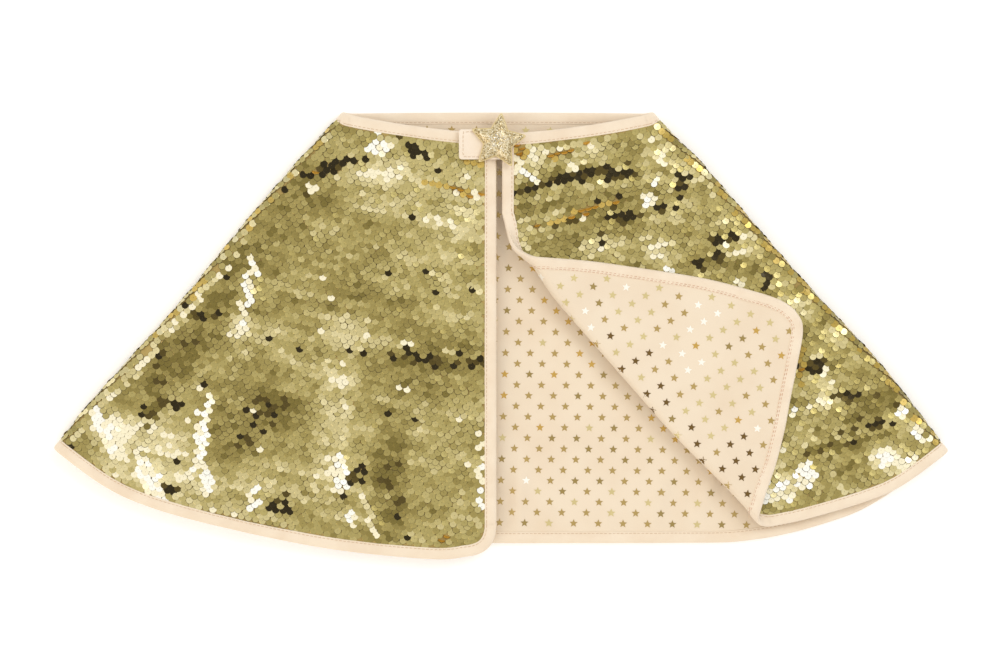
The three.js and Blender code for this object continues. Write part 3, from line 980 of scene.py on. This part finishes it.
# Each panel, named as its body: its surface, its edges, and two corners of a box round it
PANELS = {
    "back": (BACK, [back_hem, back_neck], (-370, -175), (370, 185)),
    "right_front": (RIGHT_FRONT, [right_hem, right_edge, right_neck], (-370, -190), (0, 185)),
    "left_front": (LEFT_FRONT, [left_hem, left_edge, left_neck], (0, -160), (370, 185)),
    "flap": (FLAP, [flap_edge], (10, -160), (250, 80)),
}


def on_panel(name, margin, beyond, places, *settings):
    """A panel's surface, and those of a function's places that are inside its edges by a margin, with how far
    they are inside. beyond is how far past its folds' centre lines the places go."""
    surface, edges, low, high = PANELS[name]
    plan = places(low, high, *settings)
    inside = np.min([depth(plan, edge) for edge in edges], axis=0)
    kept = inside > margin
    for fold, _ in surface.folds:
        kept &= fold.locate(plan)[1] < beyond
    return surface, plan[kept], inside[kept]


def lining_and_net(name, panel, grid, body=None, size=None, area=None):
    """The two layers of a panel's cloth: sequinned net outside, printed lining inside."""
    if size is None:
        size, area = flat_size(grid)
    pieces = []
    for layer, material, slot, low, high, node in (
        ("net", NET_CLOTH, "gold_sequins", CLOTH_HALF - NET_THICKNESS, CLOTH_HALF, f"{name}_shell"),
        ("lining", LINING_CLOTH, "printed_lining", -CLOTH_HALF, NET_THICKNESS - CLOTH_HALF, f"{name}_lining"),
    ):
        part = (*slab(panel, grid, low, high), material)
        piece = add_piece(f"{name}_{layer}_cloth", [part], body, [node] if body else (), tidy=True)
        pieces.append(piece)
    return pieces


def inset(edge):
    return edge + inward(edge) * CLOTH_INSET


def fold_side(fold, start, end, before=0, after=0):
    """A panel's side along the centre line of a fold, between two of its points or a little beyond them."""
    low, high = fold.locate(np.array([start, end]))[0]
    return fold.flat(np.linspace(low - before, high + after, 60), 0)


def panel_grids():
    """A grid of flat cloth for each panel, with its sides just inside the folded tapes."""
    hem, neck = (cut(inset(edge), RIGHT_FOLD, LEFT_FOLD) for edge in (back_hem, back_neck))
    neck = neck[::-1]
    back = coons(hem, neck, fold_side(RIGHT_FOLD, hem[0], neck[0]), fold_side(LEFT_FOLD, hem[-1], neck[-1]))

    hem, neck = cut(inset(right_hem), RIGHT_FOLD), cut(inset(right_neck), RIGHT_FOLD)[::-1]
    distance = distance_along(hem)
    corner = np.searchsorted(distance, 0.97 * distance[-1])
    edge = join(hem[corner:], [neck[-1] - (0, 12), neck[-1]])
    right = coons(hem[: corner + 1], neck, fold_side(RIGHT_FOLD, hem[0], neck[0]), edge)

    hem = cut(inset(left_hem), LEFT_FOLD, CREASE)
    neck = cut(inset(left_neck), LEFT_FOLD)[::-1]
    edge = cut(inset(left_edge), CREASE)[::-1]
    side = join(fold_side(CREASE, hem[0], edge[0]), edge, [neck[0]])
    left = coons(hem, neck, side, fold_side(LEFT_FOLD, hem[-1], neck[-1]))

    edge = cut(inset(flap_edge), CREASE)
    crease = fold_side(CREASE, edge[0], edge[-1], 1.5, 3)
    flap = coons(crease, edge, *(np.linspace(crease[i], edge[i], 4) for i in (0, -1)))
    return {"back": back, "right_front": right, "left_front": left, "flap": flap}


def fold_grid(fold, first, last, spacing=1.1):
    """A grid of flat cloth over a fold, between its end edges, each drawn in by the tape's edge."""
    turned_share = np.linspace(0, 1, int(math.pi * fold.radius / spacing) + 2)[:, None]
    steps = np.linspace(0, 1, FOLD_STEPS)
    start = np.interp(turned_share, steps, first[:, 0]) + CLOTH_INSET
    end = np.interp(turned_share, steps, last[:, 0]) - CLOTH_INSET
    t = start + np.linspace(0, 1, 90) * (end - start)
    return fold.flat(t, turned_share * fold.half_turn(t))


def bend_with(piece, fold):
    """Bakes a piece's placement into its mesh; the piece over the fold is not attached to either of its
    bodies.
    """
    centre = Vector((fold.turn(np.array([60.0]), 0.0)[0] + SHIFT) * MM)
    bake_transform(piece)


def fold_cloth():
    for name, (fold, panel, lower, upper, first, last) in FOLDS.items():
        grid = fold_grid(fold, first, last)
        length = np.abs(last[:, 0] - first[:, 0]).max()
        area = flat_size(grid)[1]
        size = (max(first[-1, 1], last[-1, 1]) * MM, length * MM)
        for piece in lining_and_net(name, panel, grid, size=size, area=min(area, size[0] * size[1])):
            bend_with(piece, fold)


# ---- Bindings of every edge ----


def bindings():
    for seed, (name, path) in enumerate(EDGES.items()):
        body = next(panel for panel in PANELS if name.startswith(panel))
        binding(f"{name}_tape", PANELS[body][0], path, body, [f"{name}_binding"], 40 + seed)
    for name, (fold, panel, lower, upper, first, last) in FOLDS.items():
        for end, (t, beyond) in (("upper", first.T), ("lower", last[::-1].T)):
            piece = binding(f"{name}_{end}_tape", panel, fold.flat(t, beyond), None, (), 70)
            bend_with(piece, fold)


# ---- Sequins of every panel ----

# Foils for marks of painted light: dark reflections, shade, glints, lighter reflections, and warm reflections
# of the lining and tapes
PAINTED_DARK_REFLECTION = ("black_gold", "black_gold", "deep_olive")
SHADED = ("deep_olive", "olive", "olive")
PAINTED_GLINTS = ("white", "ivory")
PAINTED_LIGHT_REFLECTION = ("pale_gold", "ivory", "light_gold")
PAINTED_WARM_REFLECTION = ("amber", "amber", "brass")

# Patches of painted glints, painted reflections and painted shade on the right front's sequins
RIGHT_FRONT_REFLECTION_MARKS = [
    (PAINTED_LIGHT_REFLECTION, 0.85, (-282, -14, 48, 200, 13)),
    (PAINTED_DARK_REFLECTION, 0.8, (-128, 135, 16, 64, 8), (-71, 149.6, -35, 28, 9)),
    (PAINTED_GLINTS, 1, (-96, 148, 0, 18, 14), (-95, 160, 0, 7, 8), (-148, 117, -30, 11, 9)),
    (PAINTED_WARM_REFLECTION, 0.6, (-148, 130, 0, 8, 8)),
    (PAINTED_WARM_REFLECTION, 0.85, (-40, 118, -12, 52, 4.5)),
    (PAINTED_WARM_REFLECTION, 0.8, (-24, 112, -5, 24, 5)),
    (PAINTED_LIGHT_REFLECTION, 0.75, (-46, 90, -10, 52, 8)),
    (("brass",), 1, (-21, 137, 0, 22, 4)),
    (PAINTED_GLINTS, 1, (-314, -78, -60, 46, 14), (-280, -113, -62, 40, 15), (-238, -80, 80, 66, 11),
     (-234, -118, 95, 22, 10)),
    (PAINTED_GLINTS, 0.95, (-197, -133, 75, 28, 13)),
    (PAINTED_GLINTS, 1, (-127, -111, 88, 34, 13)),
    (PAINTED_LIGHT_REFLECTION, 0.9, (-104, -146, -72, 28, 7)),
    (PAINTED_GLINTS, 0.9, (-118, -146, 80, 15, 9)),
    (PAINTED_GLINTS, 0.8, (-202, 31, 80, 54, 11)),
    (PAINTED_GLINTS, 0.65, (-14, -117, 90, 82, 11)),
    (PAINTED_DARK_REFLECTION, 0.8, (-284, -61, 90, 14, 9), (-261, -57, 0, 20, 8), (-262, -123, -20, 18, 10),
     (-176, -136, -30, 19, 17)),
    (PAINTED_DARK_REFLECTION, 0.4, (-198, -70, 60, 34, 24)),
    (SHADED, 0.7, (-276, -50, 80, 50, 14)),
    (PAINTED_DARK_REFLECTION, 0.4, (-113, -112, 60, 20, 14)),
    (SHADED, 0.7, (-88, -112, 30, 24, 18), (-80, -136, 30, 14, 12)),
    (PAINTED_DARK_REFLECTION, 0.45, (-70, -18, -8, 100, 9)),
    (PAINTED_LIGHT_REFLECTION, 0.35, (-60, -10, -8, 90, 6)),
    (PAINTED_DARK_REFLECTION, 0.5, (-20, -22, -5, 34, 12)),
    (("amber",), 1, (-44, -161, 60, 9, 7)),
    (SHADED, 0.35, (-250, -20, 70, 40, 20)),
    (("dull_gold", "old_gold"), 0.5, (-120, 60, 5, 60, 20)),
]
# Patches of painted glints, painted reflections and painted shade on the left front's sequins
LEFT_FRONT_REFLECTION_MARKS = [
    (PAINTED_DARK_REFLECTION, 1, (57, 125, 13.5, 86, 8), (97, 127, 13, 36, 6)),
    (PAINTED_DARK_REFLECTION, 0.9, (97, 93, 5, 36, 8)),
    (PAINTED_WARM_REFLECTION, 0.9, (54, 146.4, 22, 40, 4.5)),
    (PAINTED_WARM_REFLECTION, 1, (63, 97, 18, 60, 5)),
    (("brass", "amber"), 0.9, (16.4, 145.6, 0, 16, 12)),
    (PAINTED_GLINTS, 1, (21, 127, -38, 24, 8)),
    (PAINTED_LIGHT_REFLECTION, 0.9, (63, 136, 15, 22, 6)),
    (PAINTED_GLINTS, 1, (119, 108, 0, 14, 9), (125, 122, 0, 6, 8), (129, 142, 0, 6, 8)),
    (PAINTED_DARK_REFLECTION, 0.6, (146, 122, -15, 24, 11)),
    (PAINTED_DARK_REFLECTION, 0.4, (137, 103, 10, 26, 13)),
    (PAINTED_LIGHT_REFLECTION, 0.9, (142, 92, 0, 14, 9)),
    (("dull_gold", "old_gold"), 0.6, (42, 73, 10, 40, 20)),
    (PAINTED_LIGHT_REFLECTION, 0.7, (20, 68, 0, 9, 9)),
    (PAINTED_DARK_REFLECTION, 0.85, (178, 76, 8, 26, 8)),
    (PAINTED_DARK_REFLECTION, 0.9, (175, 63, 0, 11, 9), (160, 56, -25, 15, 7)),
    (PAINTED_GLINTS, 1, (136, 52, -10, 14, 7)),
    (PAINTED_LIGHT_REFLECTION, 1, (194, 66, 8, 20, 5)),
    (PAINTED_DARK_REFLECTION, 0.9, (213, 42, 70, 18, 8)),
    (PAINTED_LIGHT_REFLECTION, 1, (194, 43, 0, 13, 7)),
    (PAINTED_DARK_REFLECTION, 1, (252, -26, 10, 18, 12)),
    (PAINTED_GLINTS, 1, (259, -29, 0, 6, 7)),
    (PAINTED_DARK_REFLECTION, 0.45, (279, -49, 12, 34, 16)),
    (PAINTED_LIGHT_REFLECTION, 0.6, (257, -54, 0, 20, 13)),
    (PAINTED_DARK_REFLECTION, 0.85, (304, -72, 5, 22, 11)),
    (SHADED, 0.5, (276, -80, 25, 28, 12), (252, -91, 10, 18, 9)),
    (PAINTED_GLINTS, 1, (244, -113, 60, 19, 19)),
    (PAINTED_GLINTS, 0.75, (228, -128, -30, 19, 17)),
    (PAINTED_GLINTS, 1, (213, -126, 100, 20, 9)),
    (PAINTED_GLINTS, 0.7, (307, -99, 20, 18, 13)),
    (PAINTED_GLINTS, 1, (322, -63, 0, 7, 8)),
    (PAINTED_GLINTS, 0.9, (335, -81, -30, 12, 11)),
    (PAINTED_GLINTS, 1, (235, -62, 0, 6, 8)),
    # Painted reflection of the flap's binding in the sequins under the flap's edge
    (("honey", "honey", "amber"), 1, (240, -22, 96, 50, 8)),
]
# Wide patches of painted light and painted shade on the fronts' sequins
RIGHT_FRONT_PAINTED_SHADING = [
    (0.3, (-62, 106, -8, 140, 56)), (-0.25, (-168, 96, 51, 100, 44)), (-0.2, (-216, 36, 49, 90, 34)),
    (-0.25, (-262, -22, 49, 120, 36)), (-0.35, (-200, -60, 5, 80, 60)), (0.35, (-132, -70, 82, 120, 30)),
    (-0.35, (-90, -126, 85, 130, 30)), (-0.15, (-100, 36, 5, 130, 50)), (-0.35, (-48, -12, -8, 80, 40)),
    (0.1, (-150, 0, 10, 90, 40)), (0.35, (-280, -95, -30, 100, 50)), (0.3, (-205, 20, 80, 70, 16)),
]  # fmt: skip
LEFT_FRONT_PAINTED_SHADING = [
    (-0.1, (84, 100, 10, 70, 24)), (-0.05, (40, 84, 10, 60, 40)), (0.2, (60, 145, 5, 120, 20)),
    (0.1, (100, 68, -12, 90, 24)), (-0.15, (262, -94, 0, 60, 34)), (-0.15, (300, -66, 40, 60, 30)),
    (0.45, (322, -108, -30, 60, 24)), (0.3, (232, -110, 80, 60, 30)), (0.15, (262, -8, 50, 110, 20)),
]  # fmt: skip
# Painted reflections of the sequins seen edge-on over the side folds
ROLL_REFLECTION_FOILS = {
    "right_side_fold": ("light_gold", "fair_gold", "pale_gold", "brass", "gold"),
    "left_side_fold": ("honey", "brass", "honey", "old_gold", "dull_gold"),
}
ROLL_REFLECTION_SHARE = 0.8
ROWS = {"right_front": -12, "left_front": 13, "back": 0, "flap": 60}


def sequin_piece(name, panel, plan, inside, body, direction, marks, shading_swells, template, seed):
    tones = foils(plan, direction, marks, shading_swells, seed)
    part = sequins(panel, plan, inside, direction, tones, template, seed)
    return add_piece(f"{name}_sequins", [part], body, smooth=False)


def panel_sequins():
    for name, marks, shading_swells, template, seed in (
        ("right_front", RIGHT_FRONT_REFLECTION_MARKS, RIGHT_FRONT_PAINTED_SHADING, FINE_SEQUIN, 11),
        ("left_front", LEFT_FRONT_REFLECTION_MARKS, LEFT_FRONT_PAINTED_SHADING, FINE_SEQUIN, 21),
        ("back", (), (), PLAIN_SEQUIN, 60),
        ("flap", (), (), PLAIN_SEQUIN, 60),
    ):
        surface, plan, inside = on_panel(name, TAPE_WIDTH + 0.5, 0, lattice, ROWS[name])
        sequin_piece(name, surface, plan, inside, name, ROWS[name], marks, shading_swells, template, seed)


def fold_sequins():
    """Sequins over the folds. Seen edge-on at the side folds, they look like brass; their foils there are
    painted reflections, pale on the right fold and honey and brass on the left.
    """
    for seed, (name, (fold, panel, lower, upper, first, last)) in enumerate(FOLDS.items()):
        corners = fold.flat(np.array([first[:, 0].min(), last[:, 0].max()]), fold.radius)
        direction = ROWS["right_front" if panel is RIGHT_FRONT else "left_front"]
        plan = lattice(corners.min(0) - 20, corners.max(0) + 20, direction)
        t, beyond = fold.locate(plan)
        start, end = (np.interp(beyond, edge[:, 1], edge[:, 0]) for edge in (first, last))
        inside = np.minimum(t - start, end - t)
        kept = (beyond > 0) & (beyond < fold.half_turn(t)) & (inside > TAPE_WIDTH)
        plan, inside = plan[kept], inside[kept]
        marks = [(ROLL_REFLECTION_FOILS[name], ROLL_REFLECTION_SHARE, (0, 0, 0, 9000, 9000))] if name in ROLL_REFLECTION_FOILS else []
        piece = sequin_piece(name, panel, plan, inside, None, direction, marks, (), FINE_SEQUIN, 30 + seed)
        bend_with(piece, fold)


# ---- Printed stars of every lining ----


def lining_stars():
    # The amber patch along the crease is painted warm shade
    patches = {"back": [(2, 0.5, (105, -20, -49, 260, 60))]}
    for name in ("back", "right_front", "left_front"):
        surface, plan = on_panel(name, TAPE_WIDTH + 1, -1, star_places, *BACK_PRINT)[:2]
        tones = star_tones(plan, 5, (8, 2, 0.4, 0.8, 0.03, 0), patches.get(name, ()))
        printed_stars(name, surface, plan, BACK_PRINT_TURN, tones, name)

    plan = star_places((0, -170), (260, 90), *FLAP_PRINT)
    t, beyond = CREASE.locate(plan)
    kept = (depth(plan, flap_edge) > TAPE_WIDTH + 2) & (beyond < CREASE.half_turn(t) / 2)
    plan, on_flap = plan[kept], beyond[kept] < 0
    # Patches of painted light and shade: painted glints, painted dark shade along the crease, and a painted
    # lighter patch; white and brown stars elsewhere are painted glints and painted dark reflections
    patches = [
        (4, 0.3, (155, -5, 60, 70, 46)),
        (5, 0.6, (150, -70, -49, 190, 34)),
        (5, 0.5, (195, -100, -60, 80, 30)),
        (3, 0.5, (90, 30, -10, 90, 30)),
    ]
    tones = star_tones(plan, 9, (4, 1, 0.5, 3, 0.8, 0.7), patches)
    printed_stars("flap", FLAP, plan[on_flap], FLAP_PRINT_TURN, tones[on_flap], "flap")
    over_crease = printed_stars("crease", FLAP, plan[~on_flap], FLAP_PRINT_TURN, tones[~on_flap])
    bend_with(over_crease, CREASE)


# ---- The closure tab ----


def rounded_outline(xs, ys, radius, steps=5):
    """Counterclockwise outline of a rectangle with round corners."""
    turns = np.radians(np.arange(steps + 1) * 90 / steps - 90)
    points = []
    for x, y in ((1, 0), (1, 1), (0, 1), (0, 0)):
        centre = (xs[x] + radius * (1 - 2 * x), ys[y] + radius * (1 - 2 * y))
        points.append(centre + radius * np.column_stack([np.cos(turns), np.sin(turns)]))
        turns = turns + math.pi / 2
    return np.vstack(points)


def pillow(outline, rings, centre):
    """A closed form of rings, each the outline drawn in towards the centre and at its own height.

    rings is a list of (how far in, height), from the middle of the underside to the middle of the top."""
    points = []
    for inwards, height in rings:
        ring = centre + (outline - centre) * (1 - inwards)
        points.append(np.column_stack([ring, np.full(len(ring), height)]))
    caps = np.arange(len(outline) * len(rings)).reshape(len(rings), -1)[[0, -1]]
    points, walls = tube(np.vstack(points), len(rings))
    return points, [walls, caps[:1, ::-1], caps[1:]]


def straight_up(count, up=1.0):
    return np.tile((0.0, 0.0, float(up)), (count, 1))


# How far in the tab's stitches are, as a share of the way to its middle
TAB_STITCH_INSET = 0.165


def tab_cloth():
    """The tab: two layers of cloth turned in at the edges and stitched round."""
    low, high = TAB_LEVELS
    middle = (low + high) / 2
    corners = rounded_outline(TAB_X, TAB_Y, 2.2)
    outline = np.vstack([
        np.linspace(a, b, max(int(np.linalg.norm(b - a) / 1.5), 1), endpoint=False)
        for a, b in zip(corners, np.roll(corners, -1, axis=0))
    ])  # fmt: skip
    centre = outline.mean(0)
    rings = [
        (0.9, low + 0.25), (0.3, low + 0.25), (0.17, low + 0.3), (0.15, low + 0.15), (0.06, low),
        (0.01, low + 0.35), (0, middle), (0.01, high - 0.3), (0.06, high), (0.15, high - 0.12),
        (0.17, high - 0.32), (0.2, high - 0.15), (0.4, high + 0.05), (0.9, high + 0.1),
    ]  # fmt: skip
    line = centre + (outline - centre) * (1 - TAB_STITCH_INSET)
    closed = np.vstack([line, line[:1]])
    spots = resample(closed, int(distance_along(closed)[-1] / STITCH_PITCH) + 1)[:-1]
    flat = np.zeros(len(spots))
    ahead = np.column_stack([np.roll(spots, -1, axis=0) - spots, flat])
    origins = np.column_stack([spots, flat + high - 0.2])
    sewn = stitch_row(origins, ahead, straight_up(len(spots)), THREAD)
    parts = [(*pillow(outline, rings, centre), TAB_CLOTH), sewn]
    add_piece("closure_tab", parts, "tab", ["tab_cover", "tab_facing"], tidy=True)


def patch_points(pitch, seed, margin=1.4):
    """Places of the hooks or loops on a tape patch, a little off a square grid."""
    xs = np.arange(TAPE_PATCH_X[0] + margin, TAPE_PATCH_X[1] - margin, pitch)
    ys = np.arange(TAPE_PATCH_Y[0] + margin, TAPE_PATCH_Y[1] - margin, pitch)
    grid = np.stack(np.meshgrid(xs, ys), -1).reshape(-1, 2)
    return grid + np.random.default_rng(seed).normal(0, pitch * 0.12, grid.shape)


def bent_rod(path, radius, sides=5):
    """A thin rod along a path in the plane of its first and third axes."""
    ahead = unit(np.gradient(np.array(path, float), axis=0))
    angles = np.arange(sides) * 2 * math.pi / sides
    points = [
        (x - dz * math.cos(a) * radius, math.sin(a) * radius, z + dx * math.cos(a) * radius)
        for (x, z), (dx, dz) in zip(path, ahead) for a in angles
    ]  # fmt: skip
    return tube(np.array(points), len(path))


HOOK_SHAPE = [(0, 0), (0, 0.22), (0.08, 0.38), (0.26, 0.4), (0.34, 0.26)]
LOOP_SHAPE = [(-0.42, -0.05), (-0.4, 0.18), (-0.2, 0.36), (0.08, 0.38), (0.34, 0.22), (0.42, -0.05)]


def tape_patches():
    """The hook tape under the tab and the loop tape on the right front, with their hooks and loops."""
    outline = rounded_outline(TAPE_PATCH_X, TAPE_PATCH_Y, 1)
    for kind, (low, high), up, shape, pitch, radius, cloth, thread, body in (
        ("hook", HOOK_LEVELS, -1, HOOK_SHAPE, 1.15, 0.09, HOOK_CLOTH, NYLON_HOOK, "tab"),
        ("loop", LOOP_LEVELS, 1, LOOP_SHAPE, 0.85, 0.06, LOOP_CLOTH, LOOP_CLOTH, "right_front"),
    ):
        rings = [(0.9, low), (0.03, low), (0, low + 0.15), (0, high - 0.15), (0.03, high), (0.9, high)]
        bottom, top, base = (low, high - 0.3, high - 0.32) if up > 0 else (low + 0.35, high, low + 0.37)
        rings = [(inwards, min(max(height, bottom), top)) for inwards, height in rings]
        spots = patch_points(pitch, 90)
        bearing = np.random.default_rng(91).random(len(spots)) * 2 * math.pi
        along = np.column_stack([np.cos(bearing), np.sin(bearing), 0 * bearing])
        origins = np.column_stack([spots, base + 0 * bearing])
        axes = axes_from(along, straight_up(len(spots), up))
        points, quads = scatter(*bent_rod(shape, radius), origins, axes)
        parts = [(*pillow(outline, rings, outline.mean(0)), cloth), (points, [quads], thread)]
        add_piece(f"{kind}_patch", parts, body, [f"{kind}_tape"], tidy=True)


def star_curve(shrink, steps=9):
    """The star's outline with its tips rounded, drawn in by shrink, as evenly matched points."""
    corners = star_outline(1, 1, 90 + math.degrees(STAR_TURN))
    radii = np.where(np.arange(10) % 2 == 0, STAR_RADIUS - 1.6 * shrink, STAR_RADIUS * STAR_WAIST - shrink)
    corners = corners * radii[:, None] + STAR_CENTRE
    points = []
    for tip in range(0, 10, 2):
        before, at, after = corners[tip - 1], corners[tip], corners[tip + 1]
        start, end = at + (before - at) * TIP_ROUNDING, at + (after - at) * TIP_ROUNDING
        runs = np.linspace(before, start, steps), bend(start, at, end, steps), np.linspace(end, after, steps)
        points += [run[:-1] for run in runs]
    return np.vstack(points)


GLITTER = glitter_material()
RIM_BANDS = 4
DOME_RINGS = 15
RIM_FOIL = foil("welded_rim", (230, 212, 160), 0.36, 0.5)
# White flakes are painted glints, on top of each flake's real tilt
FLAKE_FOILS = [
    foil(f"flake_{name}", tone, roughness, metallic) for name, tone, roughness, metallic in (
        ("white", (255, 253, 244), 0.15, 0.7),
        ("cream", (238, 222, 180), 0.2, 0.8),
        ("gold", (206, 178, 112), 0.2, 0.9),
        ("bronze", (134, 108, 62), 0.25, 0.9),
        ("dark", (86, 70, 42), 0.3, 0.9),
    )
]  # fmt: skip
FLAKE_SHARES = (0.34, 0.33, 0.2, 0.09, 0.04)
FLAKE_COUNT = 3400
FLAKE_RADIUS = 0.36
# How far over the star's level its dome begins
DOME_SEAT = STAR_RIM * 0.9
COVER_PUFF = STAR_PUFF - DOME_SEAT
DOME_REACH = 2.3
DOME_FULLNESS = 0.62


def star_height(share, puff):
    """Height of the padded star over its rim, from 0 at its edge to 1 at its middle."""
    return puff * (1 - (1 - share) ** DOME_REACH) ** DOME_FULLNESS


def star_dome(name, outline, rings, low, puff, material, slot, node, *tones):
    """A padded star: rings of the underside and the edge, then its dome over a height."""
    rings = rings + [
        (1 - (1 - rings[-1][0]) * (1 - share), low + star_height(share, puff))
        for share in np.linspace(0, 0.96, DOME_RINGS + 1)[1:] ** 1.5
    ]
    part = (*pillow(outline, rings, STAR_CENTRE), material, *tones)
    add_piece(name, [part], "tab", [node], tidy=True)


def star_padding():
    low = STAR_LEVEL + 0.1
    rings = [(0.96, low), (0.4, low), (0, low)]
    star_dome("star_wadding", star_curve(5), rings, low, STAR_PUFF - 1.2, WADDING, "wadding", "star_padding")


def star_cover():
    """Glitter film with a thin welded rim of smooth foil."""
    outer, low, top = star_curve(0), STAR_LEVEL, STAR_LEVEL + STAR_RIM
    distances = [np.linalg.norm(curve - STAR_CENTRE, axis=1) for curve in (star_curve(0.9), outer)]
    weld = (1 - distances[0] / distances[1])[:, None]
    seat = low + DOME_SEAT
    rings = [(0.96, low), (0, low), (0, low + STAR_RIM * 0.6), (0.012, top), (weld, seat)]
    walls = (len(rings) + DOME_RINGS - 1) * len(outer)
    tones = np.concatenate([np.arange(walls) < RIM_BANDS * len(outer), [1, 0]]).astype(int)
    films, slot = [GLITTER, RIM_FOIL], "glitter_film"
    star_dome("star_glitter_cover", outer, rings, seat, COVER_PUFF, films, slot, "star_cover", tones)


def flakes():
    """Loose-looking glitter flakes over the padded star, tilted every way."""
    chance = np.random.default_rng(17)
    edge = star_curve(2.4)
    pick = chance.integers(0, len(edge), FLAKE_COUNT)
    share = 1 - np.sqrt(chance.random(FLAKE_COUNT))
    spots = STAR_CENTRE + (edge[pick] - STAR_CENTRE) * (1 - share[:, None])
    origins = np.column_stack([spots, STAR_LEVEL + DOME_SEAT + star_height(share, COVER_PUFF) + 0.05])
    tilt = np.radians(chance.normal(0, 16, (FLAKE_COUNT, 2)))
    third = unit(np.column_stack([np.sin(tilt), np.ones(FLAKE_COUNT)]))
    axes = axes_from(unit(np.cross(third, (0.0, 1.0, 0.0))), third)
    template = lathe([(FLAKE_RADIUS, -0.04), (FLAKE_RADIUS, 0.04)], 6)[0]
    hexagons = np.array([[5, 4, 3, 2, 1, 0], [6, 7, 8, 9, 10, 11]])
    points, faces = scatter(template, hexagons, origins, axes)
    tones = chance.choice(len(FLAKE_FOILS), FLAKE_COUNT, p=FLAKE_SHARES)
    part = (points, [faces], FLAKE_FOILS, np.repeat(tones, 2))
    add_piece("star_glitter_flakes", [part], "tab", smooth=False)


def star_backing():
    low, high = BACKING_LEVELS
    rings = [(0.96, low), (0.015, low), (0, low + 0.2), (0, high - 0.1), (0.01, high), (0.96, high)]
    part = (*pillow(star_curve(0), rings, STAR_CENTRE), FELT)
    add_piece("star_felt_backing", [part], "tab", ["star_backing"], tidy=True)


# ---- The set ----


def floor():
    """A lit white table: the light from below drowns most of the shadows."""
    material, tree, shader = new_material("lit_table", Base_Color=(0.9, 0.9, 0.9, 1.0), Roughness=0.9)
    shader.inputs["Emission Color"].default_value = (1, 1, 1, 1)
    shader.inputs["Emission Strength"].default_value = 0.22
    grain = add_node(tree, "ShaderNodeTexNoise", Scale=900.0)
    add_bump(tree, shader, grain.outputs["Fac"], 0.05, 0.1 * MM)
    bpy.ops.mesh.primitive_plane_add(size=8, location=(0, 0, -0.3 * MM))
    plane = bpy.context.object
    plane.name = "floor"
    plane.data.materials.append(material)


def studio():
    """A bright even room, a little dimmer overhead, with a large soft key light from the upper right."""
    scene = bpy.context.scene
    world = bpy.data.worlds.new("studio")
    scene.world = world
    world.use_nodes = True
    tree = world.node_tree
    place = add_node(tree, "ShaderNodeTexCoord").outputs["Generated"]
    split = add_node(tree, "ShaderNodeSeparateXYZ", Vector=place)
    sky = [(0.5, (0.82, 0.82, 0.82, 1)), (0.93, (1.03, 0.99, 0.93, 1)), (1.0, (0.86, 0.82, 0.74, 1))]
    background = tree.nodes["Background"]
    tree.links.new(ramp_between(tree, split.outputs["Z"], sky), background.inputs["Color"])
    background.inputs["Strength"].default_value = 0.96
    for name, place, size, power, tint in (
        ("key", (1.1, 0.9, 1.7), 0.9, 9, (1.0, 1.0, 1.0)),
        ("warm_fill", (-1.4, -1.0, 1.1), 1.4, 8, (1.0, 0.78, 0.52)),
    ):
        light = bpy.data.lights.new(name, "AREA")
        light.size, light.energy, light.color = size, power, tint
        lamp = bpy.data.objects.new(name, light)
        lamp.location = place
        lamp.rotation_mode = "QUATERNION"
        lamp.rotation_quaternion = Vector(place).to_track_quat("Z", "Y")
        scene.collection.objects.link(lamp)
    scene.view_settings.view_transform = "Standard"


def camera():
    """Straight above the cape, with 0.8 m of table across the picture."""
    height, width = 2.5, 0.8
    data = bpy.data.cameras.new("camera")
    data.sensor_width = 36
    data.lens = data.sensor_width * (height - 0.01) / width
    view = bpy.data.objects.new("camera", data)
    view.location = (0.0004 + SHIFT[0] * MM, 0.0008 + SHIFT[1] * MM, height)
    bpy.context.scene.collection.objects.link(view)
    bpy.context.scene.camera = view


# ---- The cape ----

camera()
studio()
floor()

for panel_name, panel_grid in panel_grids().items():
    lining_and_net(panel_name, PANELS[panel_name][0], panel_grid, panel_name)
fold_cloth()
bindings()
panel_sequins()
fold_sequins()
lining_stars()
tab_cloth()
tape_patches()
star_backing()
star_padding()
star_cover()
flakes()
